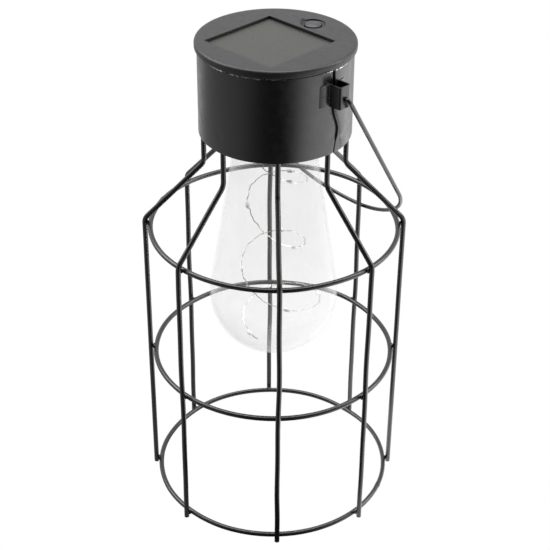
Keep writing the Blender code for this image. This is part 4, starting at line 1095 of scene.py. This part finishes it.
def make_light_string(materials):
    """Two fine wires side by side, with a drop of clear resin over a small chip at each light. The drops are
    coloured opaque white, which is a painted glint on the clear resin.
    """
    fine = [string_point(step / STRING_STEPS) for step in range(STRING_STEPS + 1)]
    travelled = [0.0]
    for first, second in zip(fine, fine[1:]):
        travelled.append(travelled[-1] + (second - first).length)
    total = travelled[-1]
    crinkled = []
    for index, point in enumerate(fine):
        ahead = (fine[min(index + 1, STRING_STEPS)] - fine[max(index - 1, 0)]).normalized()
        side = ahead.cross(Vector((0, 0, 1))).normalized()
        shift = 0.00025 * math.sin(travelled[index] * 700) + 0.0002 * math.sin(travelled[index] * 1530)
        crinkled.append((point, ahead, side, shift))
    bm = bmesh.new()
    for lane in (-1, 1):
        apart = lane * STRING_RADIUS * 0.6
        path = [point + side * (shift + apart) for point, _, side, shift in crinkled[::2]]
        tube(bm, path, [STRING_RADIUS * 0.55] * len(path), 6)
    piece("fine_light_string", bm, materials["string"], "solar_unit", ["light_string"])
    drops = bmesh.new()
    chips = bmesh.new()
    first_bead = total * FIRST_BEAD_SHARE
    spacing = (total * LAST_BEAD_SHARE - first_bead) / (BEAD_COUNT - 1)
    for index in range(BEAD_COUNT):
        where = first_bead + spacing * index
        near = next(i for i, distance in enumerate(travelled) if distance >= where)
        point, ahead, side, shift = crinkled[near]
        up = side.cross(ahead)
        place = point + side * shift
        axes = (side * BEAD_RADIUS, up * BEAD_RADIUS * 0.85, ahead * BEAD_HALF_LENGTH)
        nugget(drops, place, axes, 100 + index)
        verts = bmesh.ops.create_cube(chips, size=1)["verts"]
        wide, high, long = CHIP_SIZE
        basis = Matrix((side * wide, up * high, ahead * long)).transposed()
        for vert in verts:
            vert.co = place + basis @ vert.co
    piece("string_resin_drops", drops, materials["bead"], "solar_unit")
    lamps = piece("string_chips", chips, materials["chip"], "solar_unit")
    soften(lamps, 0.00005)


# ---- pieces carried over from the CAD
def finish_cad_nodes(materials):
    """Materials and softened edges for the CAD nodes that stay."""
    kept = {
        "component": ("switch_plunger", "driver_chip", "inductor", "battery_holder"),
        "board": ("circuit_board",),
        "switch": ("push_switch",),
        "nickel": ("board_screw_1", "board_screw_2", "battery_spring", "plate_contact"),
        "battery": ("battery",),
        "lead_black": ("cell_lead_negative", "battery_lead_negative"),
        "lead_red": ("cell_lead_positive", "battery_lead_positive"),
        "seal": ("cover_seal",),
    }
    rounds = {
        "switch_plunger": 0.0001,
        "circuit_board": 0.0001,
        "battery_holder": 0.0003,
        "plate_contact": 0.0001,
        "cover_seal": 0.0002,
    }
    for material, names in kept.items():
        for name in names:
            node = frame["nodes"][name]
            node.data.materials.clear()
            node.data.materials.append(materials[material])
            if name in rounds:
                soften(node, rounds[name])


# ---- the whole scene
def main():
    make_camera()
    make_world()
    make_floor()
    make_lights()
    materials = make_materials()
    makers = (make_cage_wires, make_cage_rings, make_collar, make_lugs, make_handle)
    makers += (make_top_cap, make_window, make_button, make_bottom_cover, make_cover_screws)
    makers += (make_bulb, make_light_string, finish_cad_nodes)
    for maker in makers:
        maker(materials)
    bpy.context.scene.view_settings.view_transform = "Standard"


main()
